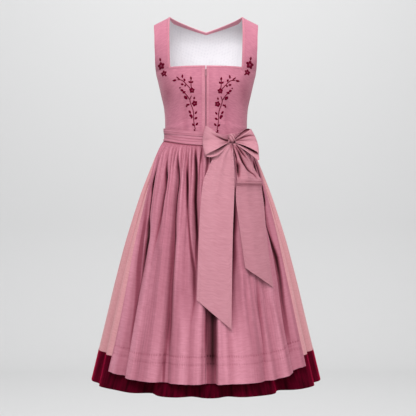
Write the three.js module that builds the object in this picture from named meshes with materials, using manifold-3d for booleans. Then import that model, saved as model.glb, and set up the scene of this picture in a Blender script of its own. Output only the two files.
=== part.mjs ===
// A sleeveless dirndl with a square neck, a gathered skirt with a velvet hem, and a satin apron tied in a bow.
// It stands filled out as when worn, with nobody in it. Millimetres, +Z up, the front towards -Y.
// The origin lies midway between the two shoulder seams, which carry the dress.
import * as THREE from "three";
import Module from "manifold-3d";

// Driving sizes
const WAIST_DROP = 392; // shoulder line to waist seam, at the sides
const FRONT_DIP = 20; // the waist seam drops this much further at the centre front
const HEM_DROP = 1150; // shoulder line to hem
const NECK_DROP = 172; // shoulder line to the straight front neckline
const BACK_NECK_DROP = 33; // shoulder line to the point of the back neckline
const SHOULDER_SLOPE = 26; // the outer edge of a strap lies this much lower than its inner edge
const STRAP_WIDTH = 51;
const BUST_FULLNESS = 8; // extra fullness shaped by the bodice darts
const TORSO_CLOTH = 2; // bodice cotton with its interlining
const LINING_CLOTH = 1;
const SKIRT_CLOTH = 2.5;
const APRON_CLOTH = 2;
const RIBBON_CLOTH = 2; // apron band, ties and bow, folded double
const BINDING_WIDTH = 7; // bias binding round the neck
const BINDING_PROUD = 1; // it stands out from the bodice by this much
const BINDING_BACK = 3.6; // and wraps the cloth and the lining by this much
const ZIP_WIDTH = 6.4;
const SEAM = 0.3; // air between two pieces that are sewn together

const RAD = Math.PI / 180;
const QUARTER = Math.PI / 2;

// Sections of the bodice from the waist up to the shoulder seam.
// z: height. side: half width at the panel's outer edge. front, back: depth at the centre line.
// frontEdge, backEdge: angle of that outer edge from the centre line, under 90 degrees beside an armhole.
// neck: half width of the neck opening, carried down as the line of the strap.
const TORSO = [
  { z: -392, side: 131.0, front: 97, back: 92, frontEdge: 90, backEdge: 90, neck: 84 },
  { z: -360, side: 131.0, front: 97, back: 93, frontEdge: 90, backEdge: 90, neck: 85 },
  { z: -325, side: 131.5, front: 100, back: 95, frontEdge: 90, backEdge: 90, neck: 87 },
  { z: -290, side: 135.0, front: 107, back: 98, frontEdge: 90, backEdge: 90, neck: 91 },
  { z: -250, side: 144.0, front: 117, back: 102, frontEdge: 90, backEdge: 90, neck: 97 },
  { z: -215, side: 152.0, front: 121, back: 106, frontEdge: 90, backEdge: 90, neck: 103 },
  { z: -184, side: 158.0, front: 119, back: 110, frontEdge: 90, backEdge: 90, neck: 108 },
  { z: -168, side: 160.0, front: 115, back: 111, frontEdge: 73, backEdge: 75, neck: 112 },
  { z: -138, side: 161.0, front: 107, back: 112, frontEdge: 60, backEdge: 63, neck: 113 },
  { z: -100, side: 162.0, front: 92, back: 111, frontEdge: 54, backEdge: 57, neck: 114 },
  { z: -60, side: 163.0, front: 69, back: 103, frontEdge: 52, backEdge: 55, neck: 115 },
  { z: -27, side: 165.0, front: 43, back: 80, frontEdge: 52, backEdge: 54, neck: 115 },
  { z: -8, side: 166.0, front: 20, back: 42, frontEdge: 52, backEdge: 54, neck: 115 },
  { z: 0, side: 166.0, front: 0, back: 0, frontEdge: 52, backEdge: 54, neck: 115 },
];
const TOP = TORSO.length - 1;
const DIP_FADES = 3; // level where the waist's dip has died out
const SLOPE_STARTS = 9; // level where the straps begin to slope

// The skirt's half width at a distance below the waist, on the hang of its fold crests.
const SKIRT = [
  { drop: 0, side: 131 },
  { drop: 30, side: 148 },
  { drop: 65, side: 164 },
  { drop: 129, side: 190 },
  { drop: 193, side: 214 },
  { drop: 321, side: 255 },
  { drop: 449, side: 289 },
  { drop: 545, side: 312 },
  { drop: 641, side: 335 },
  { drop: 758, side: 363 },
];
const SKIRT_LENGTH = HEM_DROP - WAIST_DROP;
const WAIST_NARROWER = { front: 34, back: 39 }; // depth against half width, at the waist
const HEM_DEEPER = { front: 36, back: 30 }; // what the flare adds to that depth by the hem

// How the skirt's fullness changes down its length. gather: height of the gathers. valley: share of the folds'
// full depth. inset: how far the front hangs back under the apron.
const SKIRT_FULLNESS = [
  { share: 0, gather: 1.0, valley: 0, inset: 0 },
  { share: 0.02, gather: 2.2, valley: 0, inset: 3 },
  { share: 0.07, gather: 3.6, valley: 0.05, inset: 11 },
  { share: 0.2, gather: 2.2, valley: 0.22, inset: 22 },
  { share: 0.36, gather: 0.8, valley: 0.42, inset: 29 },
  { share: 0.54, gather: 0, valley: 0.62, inset: 31 },
  { share: 0.72, gather: 0, valley: 0.82, inset: 31 },
  { share: 0.876, gather: 0, valley: 0.95, inset: 27 },
  { share: 0.94, gather: 0, valley: 1, inset: 22 },
  { share: 1, gather: 0, valley: 1, inset: 16 },
];
const VELVET_TOP = 0.876; // share of the skirt's length where the velvet band begins

// Valleys between the large folds of the skirt. at: degrees round from the centre front.
// wide: half width in degrees. deep: depth at the hem.
const SKIRT_VALLEYS = [
  { at: -158, wide: 5.5, deep: 30 },
  { at: -137, wide: 6.0, deep: 36 },
  { at: -117, wide: 5.0, deep: 28 },
  { at: -99, wide: 5.5, deep: 26 },
  { at: -70, wide: 5.0, deep: 14 },
  { at: -30.5, wide: 5.5, deep: 34 },
  { at: -7, wide: 5.0, deep: 24 },
  { at: 11, wide: 4.5, deep: 22 },
  { at: 43, wide: 5.5, deep: 34 },
  { at: 72, wide: 4.5, deep: 14 },
  { at: 101, wide: 5.0, deep: 30 },
  { at: 121, wide: 6.0, deep: 34 },
  { at: 140, wide: 5.0, deep: 26 },
  { at: 160, wide: 5.5, deep: 34 },
  { at: 179, wide: 5.0, deep: 24 },
];

// How the apron hangs outside the skirt's own line. crest: its fold crests. gather: height of the gathers.
// clear: least distance from the skirt's outer face to the apron's.
const APRON_HANG = [
  { share: 0.0062, crest: 4.6, gather: 0.5, clear: 2.7 },
  { share: 0.02, crest: 8.0, gather: 2.2, clear: 4.2 },
  { share: 0.045, crest: 12.0, gather: 3.6, clear: 5.5 },
  { share: 0.07, crest: 13.0, gather: 4.0, clear: 6.0 },
  { share: 0.13, crest: 12.5, gather: 3.4, clear: 6.5 },
  { share: 0.2, crest: 10.0, gather: 2.6, clear: 6.5 },
  { share: 0.36, crest: 6.5, gather: 1.2, clear: 6.5 },
  { share: 0.54, crest: 4.5, gather: 0, clear: 6.5 },
  { share: 0.72, crest: 3.5, gather: 0, clear: 6.5 },
  { share: 0.946, crest: 3.5, gather: 0, clear: 6.5 },
];

// Valleys between the folds of the apron. top, foot: degrees from the centre front at the waist and at the hem.
// from, to: the share of the length over which the valley runs.
const APRON_VALLEYS = [
  { top: -68, foot: -45, wide: 2.6, deep: 27, from: 0.02, to: 1.3 },
  { top: -56, foot: -51, wide: 2.0, deep: 8, from: 0.1, to: 0.8 },
  { top: -42, foot: -33, wide: 2.6, deep: 16, from: 0.02, to: 0.55 },
  { top: -31, foot: -20.5, wide: 3.0, deep: 28, from: 0.03, to: 1.3 },
  { top: -20, foot: -10, wide: 3.0, deep: 17, from: 0.02, to: 0.85 },
  { top: -10, foot: -5.7, wide: 2.4, deep: 20, from: 0.02, to: 0.8 },
  { top: 8, foot: 0.8, wide: 3.0, deep: 30, from: 0.3, to: 1.4 },
  { top: 26, foot: 15.5, wide: 2.8, deep: 22, from: 0.05, to: 0.85 },
  { top: 26, foot: 30.5, wide: 3.2, deep: 13, from: 0.35, to: 1.2 },
  { top: 34, foot: 38, wide: 3.0, deep: 13, from: 0.3, to: 1.2 },
  { top: 60, foot: 51, wide: 2.6, deep: 26, from: 0.02, to: 1.3 },
];
const APRON_EDGE = { left: -55, right: 58.5 }; // degrees from the centre front, at the hem
const APRON_EDGE_SPREAD = { left: 24, right: 19 }; // the top corners reach this much further round
const APRON_CORNER_RISE = { left: 11, right: 24 }; // the hem's corners hang this much higher

// The two ties. Each goes on from its end of the apron band, crosses the other at the back and ends at the knot.
// angle: degrees from the centre front. low, high: edges above the waist seam. out: inner face, from the bodice.
const TIE_FROM_RIGHT = [
  { angle: -86.6, low: 3, high: 26, out: 0.4 },
  { angle: -112, low: 2, high: 23, out: 0.4 },
  { angle: -140, low: 3, high: 22, out: 0.4 },
  { angle: -163, low: 6, high: 26, out: 0.4 },
  { angle: -180, low: 11, high: 31, out: 0.4 },
  { angle: -197, low: 21, high: 40, out: 0.4 },
  { angle: -210, low: 22, high: 42, out: 0.4 },
  { angle: -235, low: 22, high: 42, out: 2.8 },
  { angle: -262, low: 14, high: 36, out: 2.9 },
  { angle: -280, low: 12, high: 33, out: 2.8 },
  { angle: -300, low: 11, high: 30, out: 2.8 },
  { angle: -314, low: 8, high: 24, out: 2.8 },
  { angle: -324, low: 4, high: 18, out: 2.9 },
];
const TIE_FROM_LEFT = [
  { angle: 86.6, low: 3, high: 26, out: 0.4 },
  { angle: 100, low: 2, high: 24, out: 0.4 },
  { angle: 125, low: 1.5, high: 20, out: 0.4 },
  { angle: 150, low: 1.5, high: 20, out: 0.4 },
  { angle: 163, low: 1.5, high: 20, out: 2.8 },
  { angle: 180, low: 10, high: 31, out: 2.8 },
  { angle: 203, low: 13, high: 34, out: 2.8 },
  { angle: 225, low: 15, high: 36, out: 2.8 },
  { angle: 250, low: 16, high: 35, out: 2.8 },
  { angle: 270, low: 17, high: 34, out: 2.8 },
  { angle: 290, low: 18, high: 35, out: 2.8 },
  { angle: 310, low: 20, high: 36, out: 2.8 },
  { angle: 330, low: 22, high: 37, out: 2.8 },
  { angle: 350, low: 23, high: 38, out: 2.8 },
  { angle: 366, low: 21, high: 36, out: 2.8 },
  { angle: 380, low: 13, high: 30, out: 2.8 },
  { angle: 391, low: 5, high: 20, out: 2.9 },
];
// The apron band's reach above and below the waist seam, and in degrees the place of its ends.
const BAND = { above: 26, below: 4, end: 86 };

// Bow: the knot on the waistband, then each tail by its two edges. x, z: in front view.
// out: distance it stands off.
const KNOT = { angle: 33.5, above: 12, out: 15.3, halfWidth: 16, halfHeight: 17, halfDepth: 10 };
const RIGHT_LOOP = { reach: 91, topReach: 80, footReach: 70, halfHeight: 48, lean: 17, droop: 8 };
const LEFT_LOOP = { reach: 88, topReach: 66, footReach: 86, halfHeight: 48, lean: 17, droop: 13 };
const TAIL_RIGHT = [
  { leftX: 68, leftZ: -411.4, rightX: 77.6, rightZ: -411.4, out: 10.5 },
  { leftX: 48, leftZ: -431, rightX: 79, rightZ: -431, out: 10 },
  { leftX: 23, leftZ: -456, rightX: 82, rightZ: -455, out: 6 },
  { leftX: 6, leftZ: -495, rightX: 85, rightZ: -492, out: 4 },
  { leftX: -7, leftZ: -530, rightX: 86, rightZ: -530, out: 3 },
  { leftX: -14, leftZ: -584, rightX: 84, rightZ: -584, out: 3 },
  { leftX: -19, leftZ: -660, rightX: 80, rightZ: -668, out: 3 },
  { leftX: -22, leftZ: -734, rightX: 77, rightZ: -765, out: 3 },
  { leftX: -24, leftZ: -810, rightX: 75, rightZ: -865, out: 3 },
  { leftX: -26, leftZ: -877, rightX: 73, rightZ: -960, out: 3 },
];
const TAIL_LEFT = [
  { leftX: 78.2, leftZ: -411.4, rightX: 88, rightZ: -411.4, out: 10.5 },
  { leftX: 83, leftZ: -434, rightX: 112, rightZ: -434, out: 7 },
  { leftX: 89, leftZ: -470, rightX: 132, rightZ: -465, out: 8 },
  { leftX: 89.5, leftZ: -500, rightX: 146, rightZ: -498, out: 11 },
  { leftX: 89.5, leftZ: -527, rightX: 161, rightZ: -526, out: 14 },
  { leftX: 89.5, leftZ: -545, rightX: 166, rightZ: -545, out: 6 },
  { leftX: 90, leftZ: -590, rightX: 175, rightZ: -592, out: 3 },
  { leftX: 98, leftZ: -658, rightX: 180, rightZ: -668, out: 3 },
  { leftX: 106, leftZ: -722, rightX: 188, rightZ: -757, out: 3 },
  { leftX: 115, leftZ: -787, rightX: 199, rightZ: -847, out: 3 },
];

function clamp01(x) {
  return Math.min(1, Math.max(0, x));
}

function smooth(x) {
  const t = clamp01(x);
  return t * t * (3 - 2 * t);
}

// Value of one column of a table, straight between its rows. The key column rises.
function lookUp(table, key, at, column) {
  const next = Math.max(1, Math.min(table.length - 1, table.findIndex((row) => row[key] >= at)));
  const [a, b] = table[next] ? [table[next - 1], table[next]] : table.slice(-2);
  return mix(a[column], b[column], clamp01((at - a[key]) / (b[key] - a[key])));
}

function mix(a, b, t) {
  return a + (b - a) * t;
}

function bell(x) {
  return Math.exp(-x * x);
}

// Catmull-Rom value of one column of a table at a row number that need not be whole.
function rowValue(table, key, row) {
  const i = Math.min(table.length - 2, Math.max(0, Math.floor(row)));
  const t = row - i;
  const p1 = table[i][key];
  const p2 = table[i + 1][key];
  const p0 = i > 0 ? table[i - 1][key] : 2 * p1 - p2;
  const p3 = i < table.length - 2 ? table[i + 2][key] : 2 * p2 - p1;
  return p1 + 0.5 * t * (p2 - p0 + t * (2 * p0 - 5 * p1 + 4 * p2 - p3 + t * (3 * (p1 - p2) + p3 - p0)));
}

// Row number at which a rising column of a table reaches a value.
function rowWhere(table, key, value) {
  let low = 0;
  let high = table.length - 1;
  for (let step = 0; step < 40; step++) {
    const middle = (low + high) / 2;
    if (rowValue(table, key, middle) < value) low = middle;
    else high = middle;
  }
  return (low + high) / 2;
}

// A piece of cloth: outer points, inner points, and the triangles of its outer face.
// The inner face, and a strip round every free edge, close it into a wall.
function wall(outer, inner, faces) {
  const count = outer.length;
  const index = [];
  const edges = new Set(faces.flatMap(([a, b, c]) => [`${a},${b}`, `${b},${c}`, `${c},${a}`]));
  for (const [a, b, c] of faces) {
    index.push(a, b, c, count + a, count + c, count + b);
    for (const [p, q] of [[a, b], [b, c], [c, a]]) {
      if (!edges.has(`${q},${p}`)) index.push(q, p, count + p, q, count + p, count + q);
    }
  }
  const geometry = new THREE.BufferGeometry();
  const points = [...outer, ...inner].flatMap((p) => [p.x, p.y, p.z]);
  geometry.setAttribute("position", new THREE.Float32BufferAttribute(points, 3));
  geometry.setIndex(index);
  geometry.computeVertexNormals();
  return geometry;
}

// Rows of points become faces. Each row is { at: [column numbers], outer: [points], inner: [points] }.
// Two rows are joined over the columns that they share, and a row may hold every second column of the one above.
function clothFromRows(rows) {
  const outer = [];
  const inner = [];
  const faces = [];
  let above = null;
  for (const row of rows) {
    const ids = new Map(row.at.map((column, i) => [column, outer.length + i]));
    outer.push(...row.outer);
    inner.push(...row.inner);
    if (above) {
      for (let i = 0; i + 1 < row.at.length; i++) {
        const [from, to] = [row.at[i], row.at[i + 1]];
        if (!above.has(from) || !above.has(to)) continue;
        const middle = (from + to) / 2;
        const [a, b, c, d] = [above.get(from), above.get(to), ids.get(from), ids.get(to)];
        if (to - from > 1 && above.has(middle)) {
          const m = above.get(middle);
          faces.push([a, c, m], [c, d, m], [m, d, b]);
        } else {
          faces.push([a, c, d], [a, d, b]);
        }
      }
    }
    above = ids;
  }
  return wall(outer, inner, faces);
}

// Torso surface: an ellipse of the bodice at each level, cut off at its panel's outer edge.
// angle: 0 at the centre front, positive towards +X, 180 degrees at the centre back.
function torso(angle, level) {
  const front = Math.cos(angle) >= 0;
  const depth = rowValue(TORSO, front ? "front" : "back", level);
  const edge = rowValue(TORSO, front ? "frontEdge" : "backEdge", level) * RAD;
  const x = (rowValue(TORSO, "side", level) * Math.sin(angle)) / Math.sin(Math.min(edge, QUARTER));
  let y = -depth * Math.cos(angle);
  const dip = front ? FRONT_DIP * Math.cos(angle) ** 2 * clamp01(1 - level / DIP_FADES) : 0;
  const slope = smooth((level - SLOPE_STARTS) / (TOP - 1 - SLOPE_STARTS));
  const outwards = clamp01((Math.abs(x) - rowValue(TORSO, "neck", level)) / STRAP_WIDTH);
  const z = rowValue(TORSO, "z", level) - dip - SHOULDER_SLOPE * slope * outwards;
  if (front) y -= BUST_FULLNESS * bell((Math.abs(x) - 76) / 46) * bell((z + 235) / 55);
  return new THREE.Vector3(x, y, z);
}

function torsoNormal(angle, level) {
  const step = 0.01;
  const low = Math.max(0, level - step);
  const high = Math.min(TOP, level + step);
  const across = torso(angle + step, level).sub(torso(angle - step, level));
  const up = torso(angle, high).sub(torso(angle, low));
  const normal = across.cross(up).normalize();
  if (TOP - level < 0.2) normal.lerp(new THREE.Vector3(0, 0, 1), 1 - (TOP - level) / 0.2).normalize();
  return normal;
}

// A point on the bodice, moved out along its normal.
function onTorso(angle, level, out) {
  return torso(angle, level).addScaledVector(torsoNormal(angle, level), out);
}

// The angle at which the bodice is this far from the centre line, on its front or its back.
function angleAt(x, level, isBack) {
  const edge = rowValue(TORSO, isBack ? "backEdge" : "frontEdge", level) * RAD;
  const share = (x * Math.sin(Math.min(edge, QUARTER))) / rowValue(TORSO, "side", level);
  const angle = Math.asin(Math.max(-1, Math.min(1, share)));
  return isBack ? Math.PI - angle : angle;
}

function edgeAngle(level, isBack) {
  const edge = Math.min(90, rowValue(TORSO, isBack ? "backEdge" : "frontEdge", level)) * RAD;
  return isBack ? Math.PI - edge : edge;
}

// The level at which the centre line of the torso is at a height.
const levelAtHeight = (z) => rowWhere(TORSO, "z", z);

// Fabric colours
function cloth(color, roughness) {
  return new THREE.MeshStandardMaterial({ color, roughness, metalness: 0 });
}
const bodiceCotton = cloth(0xc27a8b, 0.85);
const skirtCotton = cloth(0xd795a0, 0.8);
const apronSatin = cloth(0xcf8799, 0.45);
const velvet = cloth(0x5a0a22, 0.95);
const whiteCotton = cloth(0xf1f1f4, 0.9);
const zipTape = cloth(0x8f5562, 0.8);
const zincMetal = new THREE.MeshStandardMaterial({ color: 0x8d8580, roughness: 0.35, metalness: 0.9 });

const dirndl = new THREE.Group();

function add(name, geometry, material) {
  const mesh = new THREE.Mesh(geometry, material);
  mesh.name = name;
  dirndl.add(mesh);
  return mesh;
}

// Bodice fronts
// Each front is cut in one with its strap. Strap columns run on to the shoulder, the others end at the neckline.
const NECK_COLUMNS = 7;
const STRAP_COLUMNS = 4;
const NECKLINE_LEVEL = levelAtHeight(-NECK_DROP - BINDING_WIDTH);
const FRONT_LEVELS = [0, 0.8, 1.8, 2.7, 3.5, 4.3, 5.2, NECKLINE_LEVEL, 7, 8, 9, 10, 11, 12, TOP];

// Angle of a front column: evenly spread from the zip to the strap's inner line, then on to the outer edge.
function frontColumn(column, level) {
  const strap = rowValue(TORSO, "neck", level) + BINDING_WIDTH;
  const zipEdge = ZIP_WIDTH / 2 + SEAM;
  if (column <= NECK_COLUMNS) return angleAt(mix(zipEdge, strap, column / NECK_COLUMNS), level, false);
  const inner = angleAt(strap, level, false);
  return mix(inner, edgeAngle(level, false), (column - NECK_COLUMNS) / STRAP_COLUMNS);
}

// Rows of a wall that follows the torso. side is 1 for +X and -1 for -X, and the point order keeps faces outwards.
function torsoRow(columns, angleOf, level, side, out, thickness) {
  const order = side > 0 ? columns : [...columns].reverse();
  const angles = order.map((column) => side * angleOf(column, level));
  return {
    at: order.map((column) => side * column),
    outer: angles.map((angle) => onTorso(angle, level, out)),
    inner: angles.map((angle) => onTorso(angle, level, out - thickness)),
  };
}

// The shoulder and side seams keep half a seam of air on each side.
function openSeams(rows, isBack) {
  const push = (isBack ? 0.5 : -0.5) * SEAM;
  for (const row of rows) {
    for (const p of [...row.outer, ...row.inner]) {
      if (isBack ? p.y < push : p.y > push) p.y = push;
    }
  }
  return rows;
}

const range = (from, to) => Array.from({ length: to - from + 1 }, (_, i) => from + i);

for (const [name, side] of [["bodice_front_right", -1], ["bodice_front_left", 1]]) {
  const rows = [...FRONT_LEVELS].reverse().map((level) => {
    const columns = range(level > NECKLINE_LEVEL ? NECK_COLUMNS : 0, NECK_COLUMNS + STRAP_COLUMNS);
    return torsoRow(columns, frontColumn, level, side, 0, TORSO_CLOTH);
  });
  add(name, clothFromRows(openSeams(rows, false)), bodiceCotton);
}

// Bodice back and its white lining
// The neck columns stop along the pointed back neckline, the strap columns meet the fronts at the shoulders.
const BACK_NECK_COLUMNS = 6;
const BACK_ROWS = 10;

// Height of the back neckline at a share of the way from its point to the strap.
const backNeckline = (share) => -BACK_NECK_DROP * (1 - share);

function backTopLevel(column) {
  const share = Math.min(1, Math.abs(column) / BACK_NECK_COLUMNS);
  const under = BINDING_WIDTH * (1 - smooth((share - 0.84) / 0.16));
  return share < 1 ? levelAtHeight(Math.min(-0.05, backNeckline(share) - under)) : TOP;
}

function backAngle(column, level) {
  const strap = rowValue(TORSO, "neck", level) + BINDING_WIDTH;
  const steps = Math.abs(column);
  const side = Math.sign(column) || 1;
  if (steps <= BACK_NECK_COLUMNS) return side * angleAt((strap * steps) / BACK_NECK_COLUMNS, level, true);
  const inner = angleAt(strap, level, true);
  return side * mix(inner, edgeAngle(level, true), (steps - BACK_NECK_COLUMNS) / STRAP_COLUMNS);
}

function backRows(out, thickness) {
  const edge = BACK_NECK_COLUMNS + STRAP_COLUMNS;
  const columns = range(-edge, edge).reverse();
  return range(0, BACK_ROWS).map((row) => {
    const share = 1 - row / BACK_ROWS;
    const levels = columns.map((column) => share ** 0.92 * backTopLevel(column));
    return {
      at: columns,
      outer: columns.map((column, i) => onTorso(backAngle(column, levels[i]), levels[i], out)),
      inner: columns.map((column, i) => onTorso(backAngle(column, levels[i]), levels[i], out - thickness)),
    };
  });
}

add("bodice_back", clothFromRows(openSeams(backRows(0, TORSO_CLOTH), true)), bodiceCotton);
const liningRows = openSeams(backRows(-TORSO_CLOTH - SEAM, LINING_CLOTH), true);
add("back_lining", clothFromRows(liningRows), whiteCotton);

// Neck binding
// One bias strip round the neck, cut at the shoulder seams and at the zip. It sits on the edge of the cloth.
const GAP_SIDE = BINDING_WIDTH - SEAM;

function bindingWall(stations) {
  const rows = stations.map(({ open, cloth: sewn }) => ({
    at: [0, 1],
    outer: [open, sewn].map(([angle, level]) => onTorso(angle, level, BINDING_PROUD)),
    inner: [open, sewn].map(([angle, level]) => onTorso(angle, level, -BINDING_BACK)),
  }));
  return rows;
}

// A station at a half width and a level, on the front.
function frontStation(x, level, side, sewnX, sewnLevel) {
  return {
    open: [side * angleAt(x, level, false), level],
    cloth: [side * angleAt(sewnX, sewnLevel, false), sewnLevel],
  };
}

for (const [name, side] of [["neck_binding_front_right", -1], ["neck_binding_front_left", 1]]) {
  const openLevel = levelAtHeight(-NECK_DROP);
  const sewnLevel = levelAtHeight(-NECK_DROP - GAP_SIDE);
  const corner = rowValue(TORSO, "neck", openLevel);
  const sewnCorner = rowValue(TORSO, "neck", NECKLINE_LEVEL) + GAP_SIDE;
  const zipEdge = ZIP_WIDTH / 2 + SEAM;
  const along = range(0, NECK_COLUMNS).map((step) => {
    const share = step / NECK_COLUMNS;
    const x = mix(zipEdge, corner, share);
    return frontStation(x, openLevel, side, mix(zipEdge, sewnCorner, share), sewnLevel);
  });
  const up = [7, 8, 9, 10, 11, 12, TOP].map((level) => {
    const x = rowValue(TORSO, "neck", level);
    return frontStation(x, level, side, x + GAP_SIDE - 0.4 * smooth((level - 8) / 4), level);
  });
  const stations = side > 0 ? [...along, ...up].reverse() : [...along, ...up];
  add(name, clothFromRows(openSeams(bindingWall(stations), false)), bodiceCotton);
}

{
  const stations = range(-BACK_NECK_COLUMNS, BACK_NECK_COLUMNS).flatMap((column) => {
    const share = Math.min(1, Math.abs(column) / BACK_NECK_COLUMNS);
    const sewnLevel = backTopLevel(column);
    const openLevel = share < 1 ? levelAtHeight(Math.min(-0.05, backNeckline(share))) : TOP;
    const x = (share * rowValue(TORSO, "neck", openLevel) * Math.sign(column)) || 0;
    const open = [angleAt(x, openLevel, true), openLevel];
    const below = levelAtHeight(Math.min(0, rowValue(TORSO, "z", sewnLevel) + SEAM));
    const sewn = [backAngle(column, sewnLevel), share < 1 ? below : sewnLevel];
    const strapEdge = Math.sign(column) * (rowValue(TORSO, "neck", TOP) + GAP_SIDE - 0.6);
    if (share === 1) sewn[0] = angleAt(strapEdge, TOP, true);
    return [{ open, cloth: sewn }];
  });
  add("neck_binding_back", clothFromRows(openSeams(bindingWall(stations), true)), bodiceCotton);
}

// Front zip, the placket strip on each side of it, and its slider
function frontStrip(fromX, toX, levels, out, thickness) {
  return levels.map((level) => {
    const angles = [fromX, toX].map((x) => angleAt(x, level, false));
    return {
      at: [0, 1],
      outer: angles.map((angle) => onTorso(angle, level, out)),
      inner: angles.map((angle) => onTorso(angle, level, out - thickness)),
    };
  });
}

const underNeckline = (gap) => levelAtHeight(-NECK_DROP - BINDING_WIDTH - gap);
const lowerLevels = [5.2, 4.3, 3.5, 2.7, 1.8];
const overBand = 0.95;
const zipLevels = [underNeckline(4), ...lowerLevels, 0.8, 0];
const zipStrip = frontStrip(-ZIP_WIDTH / 2, ZIP_WIDTH / 2, zipLevels, -0.8, 1.2);
add("zip", clothFromRows(zipStrip), zipTape);
for (const [name, fromX, toX] of [["front_placket_right", -13, -3.8], ["front_placket_left", 3.8, 9.5]]) {
  const levels = [underNeckline(0.6), ...lowerLevels, overBand];
  add(name, clothFromRows(frontStrip(fromX, toX, levels, SEAM + 1.2, 1.2)), bodiceCotton);
}

const SLIDER = { width: 5.4, height: 10, depth: 2.6, ring: 3, hole: 1.5, ringWidth: 1.5, top: -185 };
const PULL = { width: 6, length: 18, thickness: 1.2, bar: 0.8, slotWidth: 2.3, slotHeight: 3.2, reach: 0.45 };
const wasm = await Module();
wasm.setup();
const { Manifold } = wasm;

// A solid of the boolean library as a three.js geometry.
function geometryOf(solid) {
  const mesh = solid.getMesh();
  const geometry = new THREE.BufferGeometry();
  geometry.setAttribute("position", new THREE.BufferAttribute(new Float32Array(mesh.vertProperties), 3));
  geometry.setIndex(new THREE.BufferAttribute(new Uint32Array(mesh.triVerts), 1));
  geometry.computeVertexNormals();
  return geometry;
}

const box = (x, y, z, cx, cy, cz) => Manifold.cube([x, y, z], true).translate([cx, cy, cz]);
const disc = (radius, width) => Manifold.cylinder(width, radius, radius, 24, true).rotate([0, 90, 0]);
const [zipTop, zipNext] = zipStrip.map((row) => row.outer[0]);
const sliderFoot = SLIDER.top - SLIDER.height;
const zipFront = mix(zipTop.y, zipNext.y, (zipTop.z - sliderFoot) / (zipTop.z - zipNext.z));
const sliderBack = zipFront - SEAM;
const hingeY = sliderBack - SLIDER.depth - SLIDER.ring + 0.7;
const hingeZ = SLIDER.top - SLIDER.ring - 0.4;
{
  const plateY = sliderBack - SLIDER.depth / 2;
  const plateZ = SLIDER.top - SLIDER.height / 2;
  const plate = box(SLIDER.width, SLIDER.depth, SLIDER.height, 0, plateY, plateZ);
  const ring = disc(SLIDER.ring, SLIDER.ringWidth).subtract(disc(SLIDER.hole, 9));
  add("zip_slider", geometryOf(plate.add(ring.translate([0, hingeY, hingeZ]))), zincMetal);
  const foot = PULL.reach - PULL.length;
  const tab = box(PULL.width, PULL.thickness, PULL.length, 0, 0, (PULL.reach + foot) / 2);
  const slotZ = PULL.reach - PULL.bar - PULL.slotHeight / 2;
  const slot = box(PULL.slotWidth, 9, PULL.slotHeight, 0, 0, slotZ);
  add("zip_pull", geometryOf(tab.subtract(slot).translate([0, hingeY, hingeZ])), zincMetal);
}

// Skirt
// Its upper part is gathered to the waist seam. Four panels, with seams at centre front, sides and centre back.
const GATHERS = 64;
const UPPER_COLUMNS = 192;
const COLUMN_ANGLE = (2 * Math.PI) / UPPER_COLUMNS;

const waistZ = (angle) => -WAIST_DROP - (Math.cos(angle) > 0 ? FRONT_DIP * Math.cos(angle) ** 2 : 0);

// Point on the hanging line of the fold crests, moved out level with the ground.
function hang(angle, share, out) {
  const side = rowValue(SKIRT, "side", rowWhere(SKIRT, "drop", SKIRT_LENGTH * share));
  const face = Math.cos(angle) >= 0 ? "front" : "back";
  const depth = side - WAIST_NARROWER[face] + HEM_DEEPER[face] * share;
  const normal = new THREE.Vector3(Math.sin(angle) / side, -Math.cos(angle) / depth, 0).normalize();
  const top = waistZ(angle) - SEAM;
  const z = top - share * (top + HEM_DROP);
  const point = new THREE.Vector3(side * Math.sin(angle), -depth * Math.cos(angle), z);
  return point.addScaledVector(normal, out);
}

// Sum of the table's valleys at an angle in degrees.
function valleysAt(table, degrees, centre, strength) {
  return table.reduce((sum, valley) => {
    const away = ((((degrees - centre(valley) + 180) % 360) + 360) % 360) - 180;
    return sum + valley.deep * strength(valley) * bell(away / valley.wide);
  }, 0);
}

function skirtOut(angle, share) {
  const degrees = angle / RAD;
  const turn = Math.abs(((((degrees + 180) % 360) + 360) % 360) - 180);
  const underApron = 1 - smooth((turn - 47) / 18);
  const unevenness = 0.75 + 0.25 * Math.sin(7 * angle + 1);
  const wave = Math.cos(GATHERS * angle) * unevenness * (1 - 0.6 * underApron);
  const valleys = valleysAt(SKIRT_VALLEYS, degrees, (valley) => valley.at, () => 1);
  const gather = lookUp(SKIRT_FULLNESS, "share", share, "gather");
  const depth = lookUp(SKIRT_FULLNESS, "share", share, "valley");
  return gather * wave - depth * valleys - lookUp(SKIRT_FULLNESS, "share", share, "inset") * underApron;
}

const COARSE_FROM = 0.3; // below this share every second column is left out
const SKIRT_ROWS = [0, 0.02, 0.07, 0.2, 0.36, 0.54, 0.72, VELVET_TOP];
const VELVET_ROWS = [VELVET_TOP + SEAM / SKIRT_LENGTH, 0.94, 1];

function skirtPanel(quarter, rows, out, thickness) {
  const perQuarter = UPPER_COLUMNS / 4;
  return rows.map((share) => {
    const step = share > COARSE_FROM ? 2 : 1;
    const at = range(0, perQuarter / step).map((i) => i * step);
    const side = rowValue(SKIRT, "side", rowWhere(SKIRT, "drop", SKIRT_LENGTH * share));
    const seam = (0.55 * SEAM) / side;
    const points = (offset) =>
      at.map((column) => {
        const angle = (quarter * perQuarter + column) * COLUMN_ANGLE;
        const open = column === 0 ? seam : column === perQuarter ? -seam : 0;
        return hang(angle + open, share, skirtOut(angle, share) + offset);
      });
    return { at, outer: points(out), inner: points(out - thickness) };
  });
}

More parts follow.
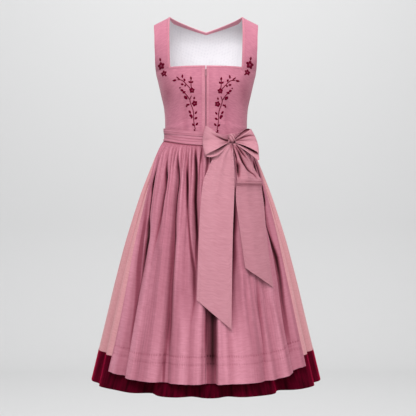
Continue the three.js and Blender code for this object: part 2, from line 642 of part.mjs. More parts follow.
const QUARTERS = [["front_left", 0], ["back_left", 1], ["back_right", 2], ["front_right", 3]];
for (const [name, quarter] of QUARTERS) {
  add(`skirt_${name}`, clothFromRows(skirtPanel(quarter, SKIRT_ROWS, 0, SKIRT_CLOTH)), skirtCotton);
}
for (const [name, quarter] of QUARTERS) {
  add(`hem_band_${name}`, clothFromRows(skirtPanel(quarter, VELVET_ROWS, 0.6, 3)), velvet);
}

// Apron
// It hangs in front of the skirt from its band, open at both sides, with its own gathers and folds.
const APRON_GATHERS = 28;
const APRON_COLUMNS = 84;

// Outermost place of the skirt near an angle, so that a straight face between two of its columns is covered.
function skirtNear(angle, share) {
  const step = 2 * COLUMN_ANGLE;
  return Math.max(...[-1, -0.5, 0, 0.5, 1].map((i) => skirtOut(angle + i * step, share)));
}

function apronAngle(u, share) {
  const spread = (1 - share) ** 8;
  const left = APRON_EDGE.left - APRON_EDGE_SPREAD.left * spread;
  return mix(left, APRON_EDGE.right + APRON_EDGE_SPREAD.right * spread, u) * RAD;
}

function apronOut(u, share) {
  const angle = apronAngle(u, share);
  const high = (1 - share) ** 2;
  const valleys = valleysAt(
    APRON_VALLEYS,
    angle / RAD,
    (valley) => mix(valley.foot, valley.top, high),
    (v) => mix(0.5, 1, share) * smooth((share - v.from) / 0.16) * smooth((v.to - share) / 0.3),
  );
  const wave = Math.cos(2 * Math.PI * APRON_GATHERS * u) * (0.75 + 0.25 * Math.sin(23 * u));
  const gather = lookUp(APRON_HANG, "share", share, "gather") * wave;
  const free = lookUp(APRON_HANG, "share", share, "crest") + gather - valleys;
  const least = skirtNear(angle, share) + lookUp(APRON_HANG, "share", share, "clear");
  return Math.max(free, least) + 1.2 * Math.exp(-Math.abs(free - least) / 2.5);
}

// How much less of the full length the hem covers near the apron's two corners.
function apronRise(u) {
  const left = APRON_CORNER_RISE.left * bell(u / 0.1);
  return (left + APRON_CORNER_RISE.right * bell((1 - u) / 0.12)) / SKIRT_LENGTH;
}

const apronRows = APRON_HANG.map(({ share }, row) => {
  const at = range(0, APRON_COLUMNS);
  const points = (offset) =>
    at.map((column) => {
      const u = column / APRON_COLUMNS;
      const low = row === APRON_HANG.length - 1 ? share - apronRise(u) : share;
      return hang(apronAngle(u, low), low, apronOut(u, low) + offset);
    });
  return { at, outer: points(0), inner: points(-APRON_CLOTH) };
});
add("apron", clothFromRows(apronRows), apronSatin);

// Apron band and ties
// A point of the waist's oval, moved out, at a height above the waist seam.
function onWaist(angle, above, out) {
  const point = hang(angle, 0, out + 0.06 * Math.max(0, above - 10));
  point.z = waistZ(angle) + above;
  return point;
}

// inner face: close to the bodice above the seam, further out below it, over the gathers.
const bandInner = (above) => 0.4 + 4.0 * clamp01((3 - above) / 7);

const bandRows = [BAND.above, 14, 3, -BAND.below].map((above) => {
  const at = range(0, 32);
  const points = (offset) =>
    at.map((i) => onWaist(mix(-BAND.end, BAND.end, i / 32) * RAD, above, bandInner(above) + offset));
  return { at, outer: points(RIBBON_CLOTH), inner: points(0) };
});
add("apron_band", clothFromRows(bandRows), apronSatin);

// Spreads a table's rows to steps of a few degrees.
function tieWall(table) {
  const last = table.length - 1;
  const steps = Math.ceil(Math.abs(table[last].angle - table[0].angle) / 5);
  const stations = range(0, steps).map((i) => (last * i) / steps);
  const ordered = table[last].angle > table[0].angle ? stations : stations.reverse();
  const at = range(0, steps);
  return [0, 1].map((down) => {
    const points = (offset) =>
      ordered.map((row) => {
        const i = Math.min(last - 1, Math.floor(row));
        const value = (key) => mix(table[i][key], table[i + 1][key], row - i);
        return onWaist(value("angle") * RAD, mix(value("high"), value("low"), down), value("out") + offset);
      });
    return { at, outer: points(RIBBON_CLOTH), inner: points(0) };
  });
}
add("tie_from_right", clothFromRows(tieWall(TIE_FROM_RIGHT)), apronSatin);
add("tie_from_left", clothFromRows(tieWall(TIE_FROM_LEFT)), apronSatin);

// Bow
// cover: the outermost face of band, ties and apron in front view, on which the bow hangs.
const COVER_START = WAIST_DROP + 12;

function cover(x, z) {
  const share = Math.max(0, (-z - COVER_START) / SKIRT_LENGTH);
  const side = rowValue(SKIRT, "side", rowWhere(SKIRT, "drop", SKIRT_LENGTH * share));
  const depth = side - WAIST_NARROWER.front + HEM_DEEPER.front * share;
  const crest = lookUp(APRON_HANG, "share", share, "crest") + lookUp(APRON_HANG, "share", share, "gather");
  const out = Math.max(5.2, crest + 1.4);
  const across = Math.min(0.93, Math.abs(x) / (side + out));
  const slope = (depth + out) / (side + out);
  const beyond = Math.max(0, Math.abs(x) - 0.93 * (side + out));
  const y = -(depth + out) * Math.sqrt(1 - across * across) + beyond * slope;
  const normal = new THREE.Vector3((across * Math.sign(x)) / (side + out), 0, 0);
  normal.y = -Math.sqrt(1 - across * across) / (depth + out);
  return { point: new THREE.Vector3(x, y, z), normal: normal.normalize() };
}

// A wall through a surface of two parameters, u from left to right and v downwards as seen from outside.
function surfaceWall(surface, columns, rows, thickness) {
  const step = 0.002;
  const made = range(0, rows).map((row) => {
    const v = row / rows;
    const at = range(0, columns);
    const outer = at.map((column) => surface(column / columns, v));
    const inner = at.map((column, i) => {
      const u = column / columns;
      const across = surface(Math.min(1, u + step), v).sub(surface(Math.max(0, u - step), v));
      const down = surface(u, Math.min(1, v + step)).sub(surface(u, Math.max(0, v - step)));
      return outer[i].clone().addScaledVector(down.cross(across).normalize(), -thickness);
    });
    return { at, outer, inner };
  });
  return clothFromRows(made);
}

const knotAngle = KNOT.angle * RAD;
const knotCentre = onWaist(knotAngle, KNOT.above, KNOT.out);
const knotBase = onWaist(knotAngle, KNOT.above, 0);
const knotNormal = onWaist(knotAngle, KNOT.above, KNOT.out + 1).sub(knotCentre);
const knotAcross = new THREE.Vector3(-knotNormal.y, knotNormal.x, 0);
{
  const geometry = new THREE.SphereGeometry(1, 16, 10);
  const place = geometry.getAttribute("position");
  const square = (value) => Math.sign(value) * Math.abs(value) ** 0.72;
  for (let i = 0; i < place.count; i++) {
    const [across, up, out] = [place.getX(i), place.getY(i), place.getZ(i)].map(square);
    const point = knotCentre.clone().addScaledVector(knotAcross, across * KNOT.halfWidth);
    point.addScaledVector(knotNormal, out * KNOT.halfDepth);
    place.setXYZ(i, point.x, point.y, point.z + up * KNOT.halfHeight);
  }
  add("bow_knot", geometry, apronSatin);
}

// Loop: the ribbon leaves the knot behind, turns at its far end and comes back in front.
// way: -1 for the loop on the wearer's right, 1 for the left. u runs along the ribbon, v down its width.
function loopSurface(loop, way) {
  return (u, v) => {
    const turn = way < 0 ? 1 - u : u;
    const full = Math.sin(Math.PI * turn) ** 0.8;
    const low = 2 * v - 1;
    const least = low < 0 ? loop.topReach : loop.footReach;
    const reach = loop.reach - (loop.reach - least) * low ** 2;
    const along = KNOT.halfWidth + SEAM + (reach - KNOT.halfWidth) * full;
    const height = (9 + (loop.halfHeight - 9) * full) * low;
    const puff = Math.cos(Math.PI * turn) * (1.7 + 13 * Math.sin(Math.PI * turn));
    const crease = 1.4 * Math.cos(3 * Math.PI * v) * full * (1 - full) * 4 * Math.cos(Math.PI * turn);
    const z = knotCentre.z - loop.droop * full - height;
    const beside = knotCentre.clone().addScaledVector(knotAcross, way * along);
    beside.addScaledVector(knotNormal, puff);
    beside.z = z;
    const x = knotBase.x + way * along * 0.9;
    const base = cover(way > 0 ? Math.min(x, knotBase.x + 20) : x, z);
    if (way > 0) {
      base.point.y += 0.3 * Math.max(0, x - base.point.x);
      base.point.x = x;
    }
    const far = base.point.addScaledVector(way > 0 ? knotNormal : base.normal, loop.lean + puff + crease);
    return beside.lerp(far, smooth(full * 1.6));
  };
}
add("bow_loop_right", surfaceWall(loopSurface(RIGHT_LOOP, -1), 24, 6, RIBBON_CLOTH), apronSatin);
add("bow_loop_left", surfaceWall(loopSurface(LEFT_LOOP, 1), 24, 6, RIBBON_CLOTH), apronSatin);

// Tail: its two edges are read from the table, with soft folds that run down it from the knot.
function tailSurface(table, folds) {
  return (u, v) => {
    const row = v * (table.length - 1);
    const value = (key) => rowValue(table, key, row);
    const x = mix(value("leftX"), value("rightX"), u);
    const z = mix(value("leftZ"), value("rightZ"), u);
    const fade = 0.35 + 0.65 * (1 - smooth(v / 0.7));
    const ripple = Math.sin(Math.PI * u) * (1 + Math.cos(4 * Math.PI * u + 1));
    const fold = folds * ripple * smooth(v / 0.12) * fade;
    const base = cover(x, z);
    return base.point.addScaledVector(base.normal, value("out") + fold);
  };
}
add("bow_tail_right", surfaceWall(tailSurface(TAIL_RIGHT, 4), 10, 18, RIBBON_CLOTH), apronSatin);
add("bow_tail_left", surfaceWall(tailSurface(TAIL_LEFT, 3), 8, 18, RIBBON_CLOTH), apronSatin);

export default dirndl;
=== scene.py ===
"""A sleeveless dirndl with a square neck, a gathered skirt with a velvet hem and a satin apron tied in a bow.

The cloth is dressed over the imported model, piece by piece, in the order in which the dress is sewn and put on.
Shapes are worked out in millimetres and turned to metres where a mesh is made. The front faces -Y.
"""

import math

import bpy
import numpy as np
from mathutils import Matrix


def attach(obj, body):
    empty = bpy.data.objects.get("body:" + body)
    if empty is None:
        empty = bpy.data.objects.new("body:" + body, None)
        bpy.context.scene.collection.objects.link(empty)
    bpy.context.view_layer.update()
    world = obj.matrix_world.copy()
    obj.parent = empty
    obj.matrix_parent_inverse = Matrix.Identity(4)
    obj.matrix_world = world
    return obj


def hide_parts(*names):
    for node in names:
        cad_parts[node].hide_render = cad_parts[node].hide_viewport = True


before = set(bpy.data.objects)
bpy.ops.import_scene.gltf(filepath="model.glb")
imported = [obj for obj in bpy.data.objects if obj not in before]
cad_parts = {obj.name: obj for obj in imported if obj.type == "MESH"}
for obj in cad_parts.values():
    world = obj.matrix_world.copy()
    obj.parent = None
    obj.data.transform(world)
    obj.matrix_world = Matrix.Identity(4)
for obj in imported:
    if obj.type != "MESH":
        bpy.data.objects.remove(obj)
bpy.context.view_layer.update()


# Bodice fronts
# Two cotton panels on an interlining, each cut in one with its strap and shaped by a dart under the bust.
# The cloth is a matt, slightly slubbed plain weave, dyed dusty rose.

WAIST = -392.0  # height of the waist seam at the sides
TORSO = {  # sections of the bodice from the waist up to the shoulder seam
    "z": [-392, -360, -325, -290, -250, -215, -184, -168, -138, -100, -60, -27, -8, 0],
    "side": [131, 131, 131.5, 135, 144, 152, 158, 160, 161, 162, 163, 165, 166, 166],
    "front": [97, 97, 100, 107, 117, 121, 119, 115, 107, 92, 69, 43, 20, 0],
    "back": [92, 93, 95, 98, 102, 106, 110, 111, 112, 111, 103, 80, 42, 0],
    "front_edge": [90, 90, 90, 90, 90, 90, 90, 73, 60, 54, 52, 52, 52, 52],
    "back_edge": [90, 90, 90, 90, 90, 90, 90, 75, 63, 57, 55, 54, 54, 54],
    "neck": [84, 85, 87, 91, 97, 103, 108, 112, 113, 114, 115, 115, 115, 115],
}
SHOULDER = 13.0  # level of the shoulder seam
BINDING = 7.0  # width of the bias binding round the neck
ZIP_HALF = 1.1  # from the centre line to the edge of a front, which laps half over the zip
SEAM_GAP = 0.15  # from the plane of the side and shoulder seams to either panel
FRONT_DIP = 20  # how much lower the waist seam lies at the centre front


def along(values, row):
    """Catmull-Rom curve through a column of numbers, read at row numbers that need not be whole."""
    values = np.asarray(values, float)
    row = np.asarray(row, float)
    first = np.clip(np.floor(row).astype(int), 0, len(values) - 2)
    t = row - first
    ends = np.concatenate([[2 * values[0] - values[1]], values, [2 * values[-1] - values[-2]]])
    p0, p1, p2, p3 = (ends[first + k] for k in range(4))
    return p1 + 0.5 * t * (p2 - p0 + t * (2 * p0 - 5 * p1 + 4 * p2 - p3 + t * (3 * (p1 - p2) + p3 - p0)))


def row_where(values, target):
    """Row number at which the rising curve through a column reaches a value."""
    rows = np.linspace(0, len(values) - 1, 4000)
    return np.interp(target, along(values, rows), rows)


def smooth(x):
    """0 below 0, 1 above 1 and a soft step between."""
    t = np.clip(x, 0, 1)
    return t * t * (3 - 2 * t)


def bell(x):
    """A bell curve: e to the power of minus x squared."""
    return np.exp(-np.square(x))


def mix(a, b, t):
    """Straight blend from a to b."""
    return a + (b - a) * t


def unit(v):
    """Vectors brought to length one."""
    return v / np.maximum(np.linalg.norm(v, axis=-1, keepdims=True), 1e-9)


def torso_edge(level, front):
    """Angle from the centre line to the panel's outer edge, at most a right angle."""
    edge = np.where(front, along(TORSO["front_edge"], level), along(TORSO["back_edge"], level))
    return np.radians(np.minimum(edge, 90))


def torso(angle, level):
    """An ellipse of the bodice at each level. x = half width by sine, y = depth by cosine, with the bust's fullness
    as two bells; z dips towards the centre front at the waist and falls along the straps."""
    angle, level = np.broadcast_arrays(angle, level)
    front = np.cos(angle) >= 0
    depth = np.where(front, along(TORSO["front"], level), along(TORSO["back"], level))
    x = along(TORSO["side"], level) * np.sin(angle) / np.sin(torso_edge(level, front))
    y = -depth * np.cos(angle)
    dip = np.where(front, FRONT_DIP * np.cos(angle) ** 2 * np.clip(1 - level / 3, 0, 1), 0)
    outwards = np.clip((np.abs(x) - along(TORSO["neck"], level)) / 51, 0, 1)
    z = along(TORSO["z"], level) - dip - 26 * smooth((level - 9) / 3) * outwards
    y = y - np.where(front, 8 * bell((np.abs(x) - 76) / 46) * bell((z + 235) / 55), 0)
    return np.stack([x, y, z], axis=-1)


def on_torso(angle, level, out):
    """A point of the torso moved out along its normal, the cross product of its across and up directions."""
    angle, level = np.broadcast_arrays(np.asarray(angle, float), np.asarray(level, float))
    low, high = np.maximum(0, level - 0.01), np.minimum(SHOULDER, level + 0.01)
    across = torso(angle + 0.01, level) - torso(angle - 0.01, level)
    normal = unit(np.cross(across, torso(angle, high) - torso(angle, low)))
    up = np.clip(1 - (SHOULDER - level) / 0.2, 0, 1)[..., None]
    normal = unit(mix(normal, np.array([0.0, 0.0, 1.0]), up))
    return torso(angle, level) + normal * np.asarray(out)[..., None]


def angle_at(x, level, front=True):
    """The angle at which the bodice is this far from its centre line."""
    share = x * np.sin(torso_edge(level, front)) / along(TORSO["side"], level)
    angle = np.arcsin(np.clip(share, -1, 1))
    return angle if front else np.pi - angle


def place_on_front(x, z, out):
    """A point of the front given by its place in front view: the level is corrected until its height fits."""
    x, z = np.broadcast_arrays(np.asarray(x, float), np.asarray(z, float))
    level = row_where(TORSO["z"], z)
    for _ in range(12):
        level = row_where(TORSO["z"], z - torso(angle_at(x, level), level)[..., 2] + along(TORSO["z"], level))
    return on_torso(angle_at(x, level), level, out)


def grid_normals(grid):
    """Outward normals of a grid whose rows run down and whose columns run from left to right as seen from outside."""
    return unit(np.cross(np.gradient(grid, axis=0), np.gradient(grid, axis=1)))


def shell(outer, inner, cut=None, keep=None, deep=0.0):
    """Points, faces, cut coordinates and painted shade of a wall of cloth: the outer grid, the inner grid turned round,
    and a rim of quads round every free edge. inner may also be a thickness, by which the outer grid is set in. keep
    picks the quads, cut is the flat width in metres, deep is painted shade: 0 on open cloth, 1 where folds are shaded
    most."""
    rows, columns = outer.shape[:2]
    deep = np.broadcast_to(deep, (rows, columns)).ravel()
    if np.ndim(inner) == 0:
        inner = outer - grid_normals(outer) * inner
    index = np.arange(rows * columns).reshape(rows, columns)
    quads = np.stack([index[:-1, :-1], index[1:, :-1], index[1:, 1:], index[:-1, 1:]], axis=-1)
    quads = quads.reshape(-1, 4) if keep is None else quads[keep]
    count = rows * columns
    edges = np.concatenate([quads[:, [i, (i + 1) % 4]] for i in range(4)])
    free = edges[~np.isin(edges[:, 0] * count + edges[:, 1], edges[:, 1] * count + edges[:, 0])]
    rim = np.stack([free[:, 1], free[:, 0], free[:, 0] + count, free[:, 1] + count], axis=1)
    faces = np.concatenate([quads, quads[:, ::-1] + count, rim])
    down = np.linalg.norm(np.diff(outer, axis=0, prepend=outer[:1]), axis=-1).cumsum(axis=0) / 1000
    across = np.linalg.norm(np.diff(outer, axis=1, prepend=outer[:, :1]), axis=-1).cumsum(axis=1) / 1000
    if cut is not None:
        across = np.broadcast_to(np.linspace(0, cut, columns), across.shape)
    flat = np.stack([across, down], axis=-1).reshape(-1, 2)
    points = np.concatenate([outer.reshape(-1, 3), inner.reshape(-1, 3)]) / 1000
    return points, faces, np.concatenate([flat, flat]), np.concatenate([deep, deep])


def piece(name, shells, finish, crisp=40):
    """One finished piece: its shells joined in one mesh, smooth but for edges sharper than crisp degrees."""
    starts = np.cumsum([0] + [len(made[0]) for made in shells])
    points, flats, depths = (np.concatenate([made[i] for made in shells]) for i in (0, 2, 3))
    faces = np.concatenate([made[1] + start for made, start in zip(shells, starts)])
    used, faces = np.unique(faces, return_inverse=True)
    faces = faces.reshape(-1, 4)
    mesh = bpy.data.meshes.new(name)
    mesh.vertices.add(len(used))
    mesh.vertices.foreach_set("co", points[used].ravel())
    mesh.loops.add(faces.size)
    mesh.loops.foreach_set("vertex_index", faces.ravel().astype(np.int32))
    mesh.polygons.add(len(faces))
    mesh.polygons.foreach_set("loop_start", np.arange(0, faces.size, 4, dtype=np.int32))
    mesh.update(calc_edges=True)
    cut = mesh.uv_layers.new(name="cut")
    cut.data.foreach_set("uv", flats[used][faces.ravel()].ravel())
    # The painted shade of the folds, kept on each point for the cloth's colour.
    fold = mesh.attributes.new("painted_fold_shade", "FLOAT", "POINT")
    fold.data.foreach_set("value", depths[used].astype(np.float32))
    mesh.validate()
    mesh.shade_smooth()
    mesh.set_sharp_from_angle(angle=math.radians(crisp))
    mesh.materials.append(finish)
    made = bpy.data.objects.new(name, mesh)
    bpy.context.collection.objects.link(made)
    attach(made, "dress")
    return made


def linear(colour):
    """An sRGB hex colour as linear light, with full opacity."""
    value = np.array([int(colour[i : i + 2], 16) for i in (1, 3, 5)]) / 255
    value = np.where(value <= 0.04045, value / 12.92, ((value + 0.055) / 1.055) ** 2.4)
    return (*value.tolist(), 1.0)


def node(tree, kind, inputs=None, **settings):
    """Adds one node, sets what it is told and fills or links its inputs."""
    made = tree.nodes.new(kind)
    for name, value in settings.items():
        setattr(made, name, value)
    for name, value in (inputs or {}).items():
        if isinstance(value, bpy.types.NodeSocket):
            tree.links.new(value, made.inputs[name])
        else:
            made.inputs[name].default_value = value
    return made


def blank_material(name):
    """A material with an empty node tree."""
    material = bpy.data.materials.new(name)
    material.use_nodes = True
    material.node_tree.nodes.clear()
    return material, material.node_tree


def surfaced(tree, inputs):
    """Closes a node tree with a principled surface of these inputs."""
    surface = node(tree, "ShaderNodeBsdfPrincipled", inputs)
    node(tree, "ShaderNodeOutputMaterial", {"Surface": surface.outputs[0]})


def two_colours(tree, factor, shade, light, low=0.3, high=0.7):
    """A ramp from one colour to another over part of a factor's range."""
    ramp = node(tree, "ShaderNodeValToRGB", {"Fac": factor})
    ramp.color_ramp.elements[0].position, ramp.color_ramp.elements[1].position = low, high
    ramp.color_ramp.elements[0].color, ramp.color_ramp.elements[1].color = linear(shade), linear(light)
    return ramp.outputs["Color"]


def woven(name, shade, light, thread, slub, roughness, sheen, tint, relief, slubby=0.5, fold_shade_colour="#3D131E"):
    """A plain weave on the cut coordinates. Colour: slubs drawn out along the weft and soft clouds, from shade to
    light, times a ramp of painted shade from white on open cloth to a deep wine tone at the bottom of folds.
    Relief: warp rib times weft rib, plus the slubs. thread is the ribs' spacing in metres, slub the length of a slub."""
    material, tree = blank_material(name)
    place = node(tree, "ShaderNodeUVMap", uv_map="cut").outputs["UV"]
    drawn = node(tree, "ShaderNodeMapping", {"Vector": place, "Scale": (1 / slub, 1 / (1.6 * thread), 1)})
    slubs = node(tree, "ShaderNodeTexNoise", {"Vector": drawn.outputs[0], "Scale": 1.0, "Detail": 3.0})
    cloudy = node(tree, "ShaderNodeTexNoise", {"Vector": place, "Scale": 22.0, "Detail": 2.0})
    both = node(
        tree, "ShaderNodeMath", {0: cloudy.outputs["Fac"], 1: 0.35, 2: slubs.outputs["Fac"]}, operation="MULTIPLY_ADD"
    )
    level = node(tree, "ShaderNodeMath", {0: both.outputs[0], 1: 0.74}, operation="MULTIPLY")
    colour = two_colours(tree, level.outputs[0], shade, light, 0.36, 0.64)
    # Painted shade: each point's fold attribute darkens the colour through a dull rose mid tone to the deep wine fold
    # colour.
    fold = node(tree, "ShaderNodeAttribute", attribute_name="painted_fold_shade").outputs["Fac"]
    painted_shade_ramp = two_colours(tree, fold, "#FFFFFF", fold_shade_colour, 0.0, 1.0)
    middle = painted_shade_ramp.node.color_ramp.elements.new(0.5)
    middle.color = (0.45, 0.26, 0.31, 1)
    sunk = node(tree, "ShaderNodeMixRGB", {"Fac": 1.0, "Color1": colour, "Color2": painted_shade_ramp}, blend_type="MULTIPLY")
    per_metre = 0.314 / thread  # a wave texture of scale 1 repeats every 0.314
    waves = [
        node(tree, "ShaderNodeTexWave", {"Vector": place, "Scale": per_metre, "Distortion": 0.5}, bands_direction=way)
        for way in ("X", "Y")
    ]
    ribs = node(
        tree, "ShaderNodeMath", {0: waves[0].outputs["Fac"], 1: waves[1].outputs["Fac"]}, operation="MULTIPLY"
    )
    height = node(
        tree, "ShaderNodeMath", {0: slubs.outputs["Fac"], 1: slubby, 2: ribs.outputs[0]}, operation="MULTIPLY_ADD"
    )
    bump = node(tree, "ShaderNodeBump", {"Height": height.outputs[0], "Strength": relief, "Distance": 0.0006})
    surfaced(
        tree,
        {
            "Base Color": sunk.outputs["Color"],
            "Roughness": roughness,
            "Sheen Weight": sheen,
            "Sheen Roughness": 0.4,
            "Sheen Tint": linear(tint),
            "Specular IOR Level": 0.05,
            "Normal": bump.outputs["Normal"],
        },
    )
    return material


# Dusty rose cotton: threads lie 0.5 mm apart, drawn here at 2.4 mm so that the weave shows at this size.
rose_cotton = woven("rose_plain_weave_cotton", "#A66578", "#B57384", 0.0024, 0.016, 0.86, 0.3, "#FFE0E4", 0.5)


def front_relief(x, z):
    """Ease in a front: a soft pull from the dart, two drag lines above the band and the strap's dip."""
    x = np.abs(x)
    dart = -1.3 * bell((x - mix(70, 58, (z + 235) / -160)) / 5) * smooth((-250 - z) / 60) * smooth((z + 400) / 60)
    drag = 0.9 * bell((z + 352 + 0.12 * (x - 60)) / 7) * smooth((x - 18) / 30)
    drag = drag - 0.8 * bell((z + 338 + 0.2 * (x - 60)) / 8) * smooth((x - 30) / 30)
    under = 1.4 * bell((z + 200 - 0.35 * (x - 120)) / 12) * smooth((x - 90) / 30)
    strap = -0.9 * bell((z + 120 + 0.3 * (x - 130)) / 16) * smooth((x - 110) / 10)
    return dart + drag + under + strap


NECKLINE = float(row_where(TORSO["z"], -172 - BINDING))
front_levels = np.concatenate([np.linspace(SHOULDER, NECKLINE, 46)[:-1], np.linspace(NECKLINE, 0, 60)])


def front_grid(side, across, levels, out):
    """across from 0 at the zip to 1 at the strap's inner line, then to 2 at the outer edge, level by level."""
    across, level = np.meshgrid(across, levels)
    strap = along(TORSO["neck"], level) + BINDING
    inner = angle_at(mix(ZIP_HALF, strap, np.minimum(across, 1)), level)
    angle = mix(inner, torso_edge(level, True), np.clip(across - 1, 0, 1))
    if side < 0:
        angle = -angle[:, ::-1]
    base = torso(angle, level)
    grid = on_torso(angle, level, out + front_relief(base[..., 0], base[..., 2]))
    grid[..., 1] = np.minimum(grid[..., 1], -SEAM_GAP)
    return grid


for side, name in ((-1, "bodice_front_right"), (1, "bodice_front_left")):
    across = np.concatenate([np.linspace(0, 1, 50)[:-1], np.linspace(1, 2, 26)])
    outer = front_grid(side, across, front_levels, 0.0)
    inner = front_grid(side, across, front_levels, -1.6)
    below = np.arange(len(front_levels) - 1)[:, None] >= 45
    strap = (np.arange(len(across) - 1) >= 49)[None, :]
    strap = strap[:, ::-1] if side < 0 else strap
    away, height = np.abs(outer[..., 0]), outer[..., 2]
    # Painted shade: a patch under the armhole, the sides of each front and the dart line below the bust are darkened in
    # the colour.
    painted_hollow_shade = 0.16 * bell((away - 118) / 17) * bell((height + 250) / 30)
    painted_hollow_shade = painted_hollow_shade + 0.1 * smooth((away - 96) / 36) * bell((height + 270) / 90)
    painted_hollow_shade = painted_hollow_shade + 0.1 * bell((away - 64) / 7) * smooth((-262 - height) / 40)
    cloth = shell(outer, inner, keep=below | strap, deep=painted_hollow_shade)
    panel = piece(name + "_cloth", [cloth], rose_cotton)
    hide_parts(name)


# Bodice back and its lining
# One cotton back with two curved seams, and behind it a white cotton lining with small woven figures.
# It is joined to the fronts at the shoulders and the sides.

BACK_POINT = -33.0  # height of the point of the back neckline


def back_top_level(share):
    """Level of the back's upper edge: the pointed neckline less the binding, then the shoulder."""
    under = BINDING * (1 - smooth((share - 0.84) / 0.16))
    level = row_where(TORSO["z"], np.minimum(-0.05, BACK_POINT * (1 - share) - under))
    return np.where(share < 1, level, SHOULDER)


def back_seam(z):
    """Distance of the back's two shaping seams from the centre: near the waist 62 mm, more towards the armhole."""
    return 62 + 20 * smooth((z + 330) / 260) ** 2


def back_grid(out, relief):
    """Columns from the left edge of the back, seen from behind, to the right; rows from the neckline down."""
    column = np.concatenate([np.linspace(-2, -1, 20)[:-1], np.linspace(-1, 1, 91), np.linspace(1, 2, 20)[1:]])[::-1]
    column, row = np.meshgrid(column, np.linspace(0, 1, 90))
    steps = np.abs(column)
    level = (1 - row) ** 0.92 * back_top_level(np.minimum(1, steps))
    strap = along(TORSO["neck"], level) + BINDING
    angle = angle_at(strap * np.minimum(1, steps), level, False)
    angle = mix(angle, np.pi - torso_edge(level, False), np.clip(steps - 1, 0, 1))
    angle = np.where(column < 0, -angle, angle)
    base = torso(angle, level)
    away, height = np.abs(base[..., 0]), base[..., 2]
    seam = back_seam(height)
    ease = 0.35 * bell((away - seam - 5) / 3) - bell((away - seam) / 2.2)
    ease = ease + 0.8 * bell((height + 350) / 9) * bell((away - 35) / 24)
    ease = ease - 0.7 * bell((height + 333) / 9) * bell((away - 45) / 26)
    grid = on_torso(angle, level, out + relief * ease)
    grid[..., 1] = np.maximum(grid[..., 1], SEAM_GAP)
    return grid


outer = back_grid(0, 1.0)
# Painted shade along the two shaping seams of the back.
sewn = 0.4 * bell((np.abs(outer[..., 0]) - back_seam(outer[..., 2])) / 1.8)
back = piece("bodice_back_cloth", [shell(outer, back_grid(-1.7, 1.0), deep=sewn)], rose_cotton)
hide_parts("bodice_back")


def figured_white(name):
    """White cotton with rows of small woven figures: a dot at each point of a net, sharper in sheen than in colour."""
    material, tree = blank_material(name)
    place = node(tree, "ShaderNodeUVMap", uv_map="cut").outputs["UV"]
    net = node(tree, "ShaderNodeTexVoronoi", {"Vector": place, "Scale": 95.0, "Randomness": 0.25})
    spread = node(tree, "ShaderNodeTexNoise", {"Vector": place, "Scale": 30.0, "Detail": 2.0})
    figures = node(tree, "ShaderNodeMath", {0: net.outputs["Distance"], 1: spread.outputs["Fac"]}, operation="MULTIPLY")
    colour = two_colours(tree, figures.outputs[0], "#D1D1D6", "#D8D8DC", 0.06, 0.2)
    weave = node(tree, "ShaderNodeTexWave", {"Vector": place, "Scale": 160.0, "Distortion": 0.4}, bands_direction="Y")
    height = node(tree, "ShaderNodeMath", {0: net.outputs["Distance"], 1: weave.outputs["Fac"]}, operation="ADD")
    bump = node(tree, "ShaderNodeBump", {"Height": height.outputs[0], "Strength": 0.1, "Distance": 0.0005})
    surfaced(
        tree, {"Base Color": colour, "Roughness": 0.85, "Sheen Weight": 0.1, "Normal": bump.outputs["Normal"]}
    )
    return material


# White lining cotton. Its figures lie about 10 mm apart.
white_cotton = figured_white("figured_white_cotton")
cloth = shell(back_grid(-2.3, 0.5), back_grid(-3.1, 0.5))
lining = piece("back_lining_cloth", [cloth], white_cotton)
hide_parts("back_lining")


# Neck binding
# A bias strip of the same cotton folded over the edge of the neck, a little fuller and smoother than the body.
# It is cut at the zip and at the shoulder seams, with mitred corners at the square neckline.

# The same cotton cut on the bias, which is smoother; its paler colour is painted light. Its threads are drawn 2 mm
# apart, not 0.5.
bias_cotton_painted_paler = woven("rose_bias_cotton_painted_paler", "#CA8898", "#D697A6", 0.0020, 0.012, 0.8, 0.35, "#FFE0E4", 0.4)


def folded_strip(open_angle, open_level, sewn_angle, sewn_level, front):
    """A strip between its open and its sewn edge. Its section is a flat oval: 1 mm proud, wrapped 3.6 mm in."""
    across = np.linspace(0, 1, 9)[None, :]
    angle = mix(open_angle[:, None], sewn_angle[:, None], across)
    level = mix(open_level[:, None], sewn_level[:, None], across)
    fold = np.sqrt(np.clip(1 - np.clip((0.28 - across) / 0.28, 0, 1) ** 2, 0, 1))
    rim = np.clip((across - 0.86) / 0.14, 0, 1) ** 2
    outer = on_torso(angle, level, 1.0 - 1.7 * (1 - fold) - 0.7 * rim)
    inner = on_torso(angle, level, -3.5 + 1.7 * (1 - fold))
    for grid in (outer, inner):
        grid[..., 1] = np.minimum(grid[..., 1], -SEAM_GAP) if front else np.maximum(grid[..., 1], SEAM_GAP)
    # Painted shade: the front bindings are shaded much more than the back one, which keeps most of the painted paler
    # colour.
    return shell(outer, inner, deep=0.26 if front else 0.04)


for side, name in ((-1, "neck_binding_front_right"), (1, "neck_binding_front_left")):
    open_level, sewn_level = row_where(TORSO["z"], -172.0), row_where(TORSO["z"], -178.7)
    corner = along(TORSO["neck"], open_level)
    sewn_corner = along(TORSO["neck"], NECKLINE) + 6.7
    share = np.linspace(0, 1, 40)
    up = np.linspace(7, SHOULDER, 60)
    neck = along(TORSO["neck"], up)
    x_open = np.concatenate([mix(ZIP_HALF, corner, share), neck])
    x_sewn = np.concatenate([mix(ZIP_HALF, sewn_corner, share), neck + 6.7 - 0.4 * smooth((up - 8) / 4)])
    level_open = np.concatenate([np.full(40, open_level), up])
    level_sewn = np.concatenate([np.full(40, sewn_level), up])
    a_open, a_sewn = side * angle_at(x_open, level_open), side * angle_at(x_sewn, level_sewn)
    stations = [a_open, level_open, a_sewn, level_sewn]
    if side > 0:
        stations = [row[::-1] for row in stations]
    strip = piece(name + "_cloth", [folded_strip(*stations, True)], bias_cotton_painted_paler)
    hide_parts(name)

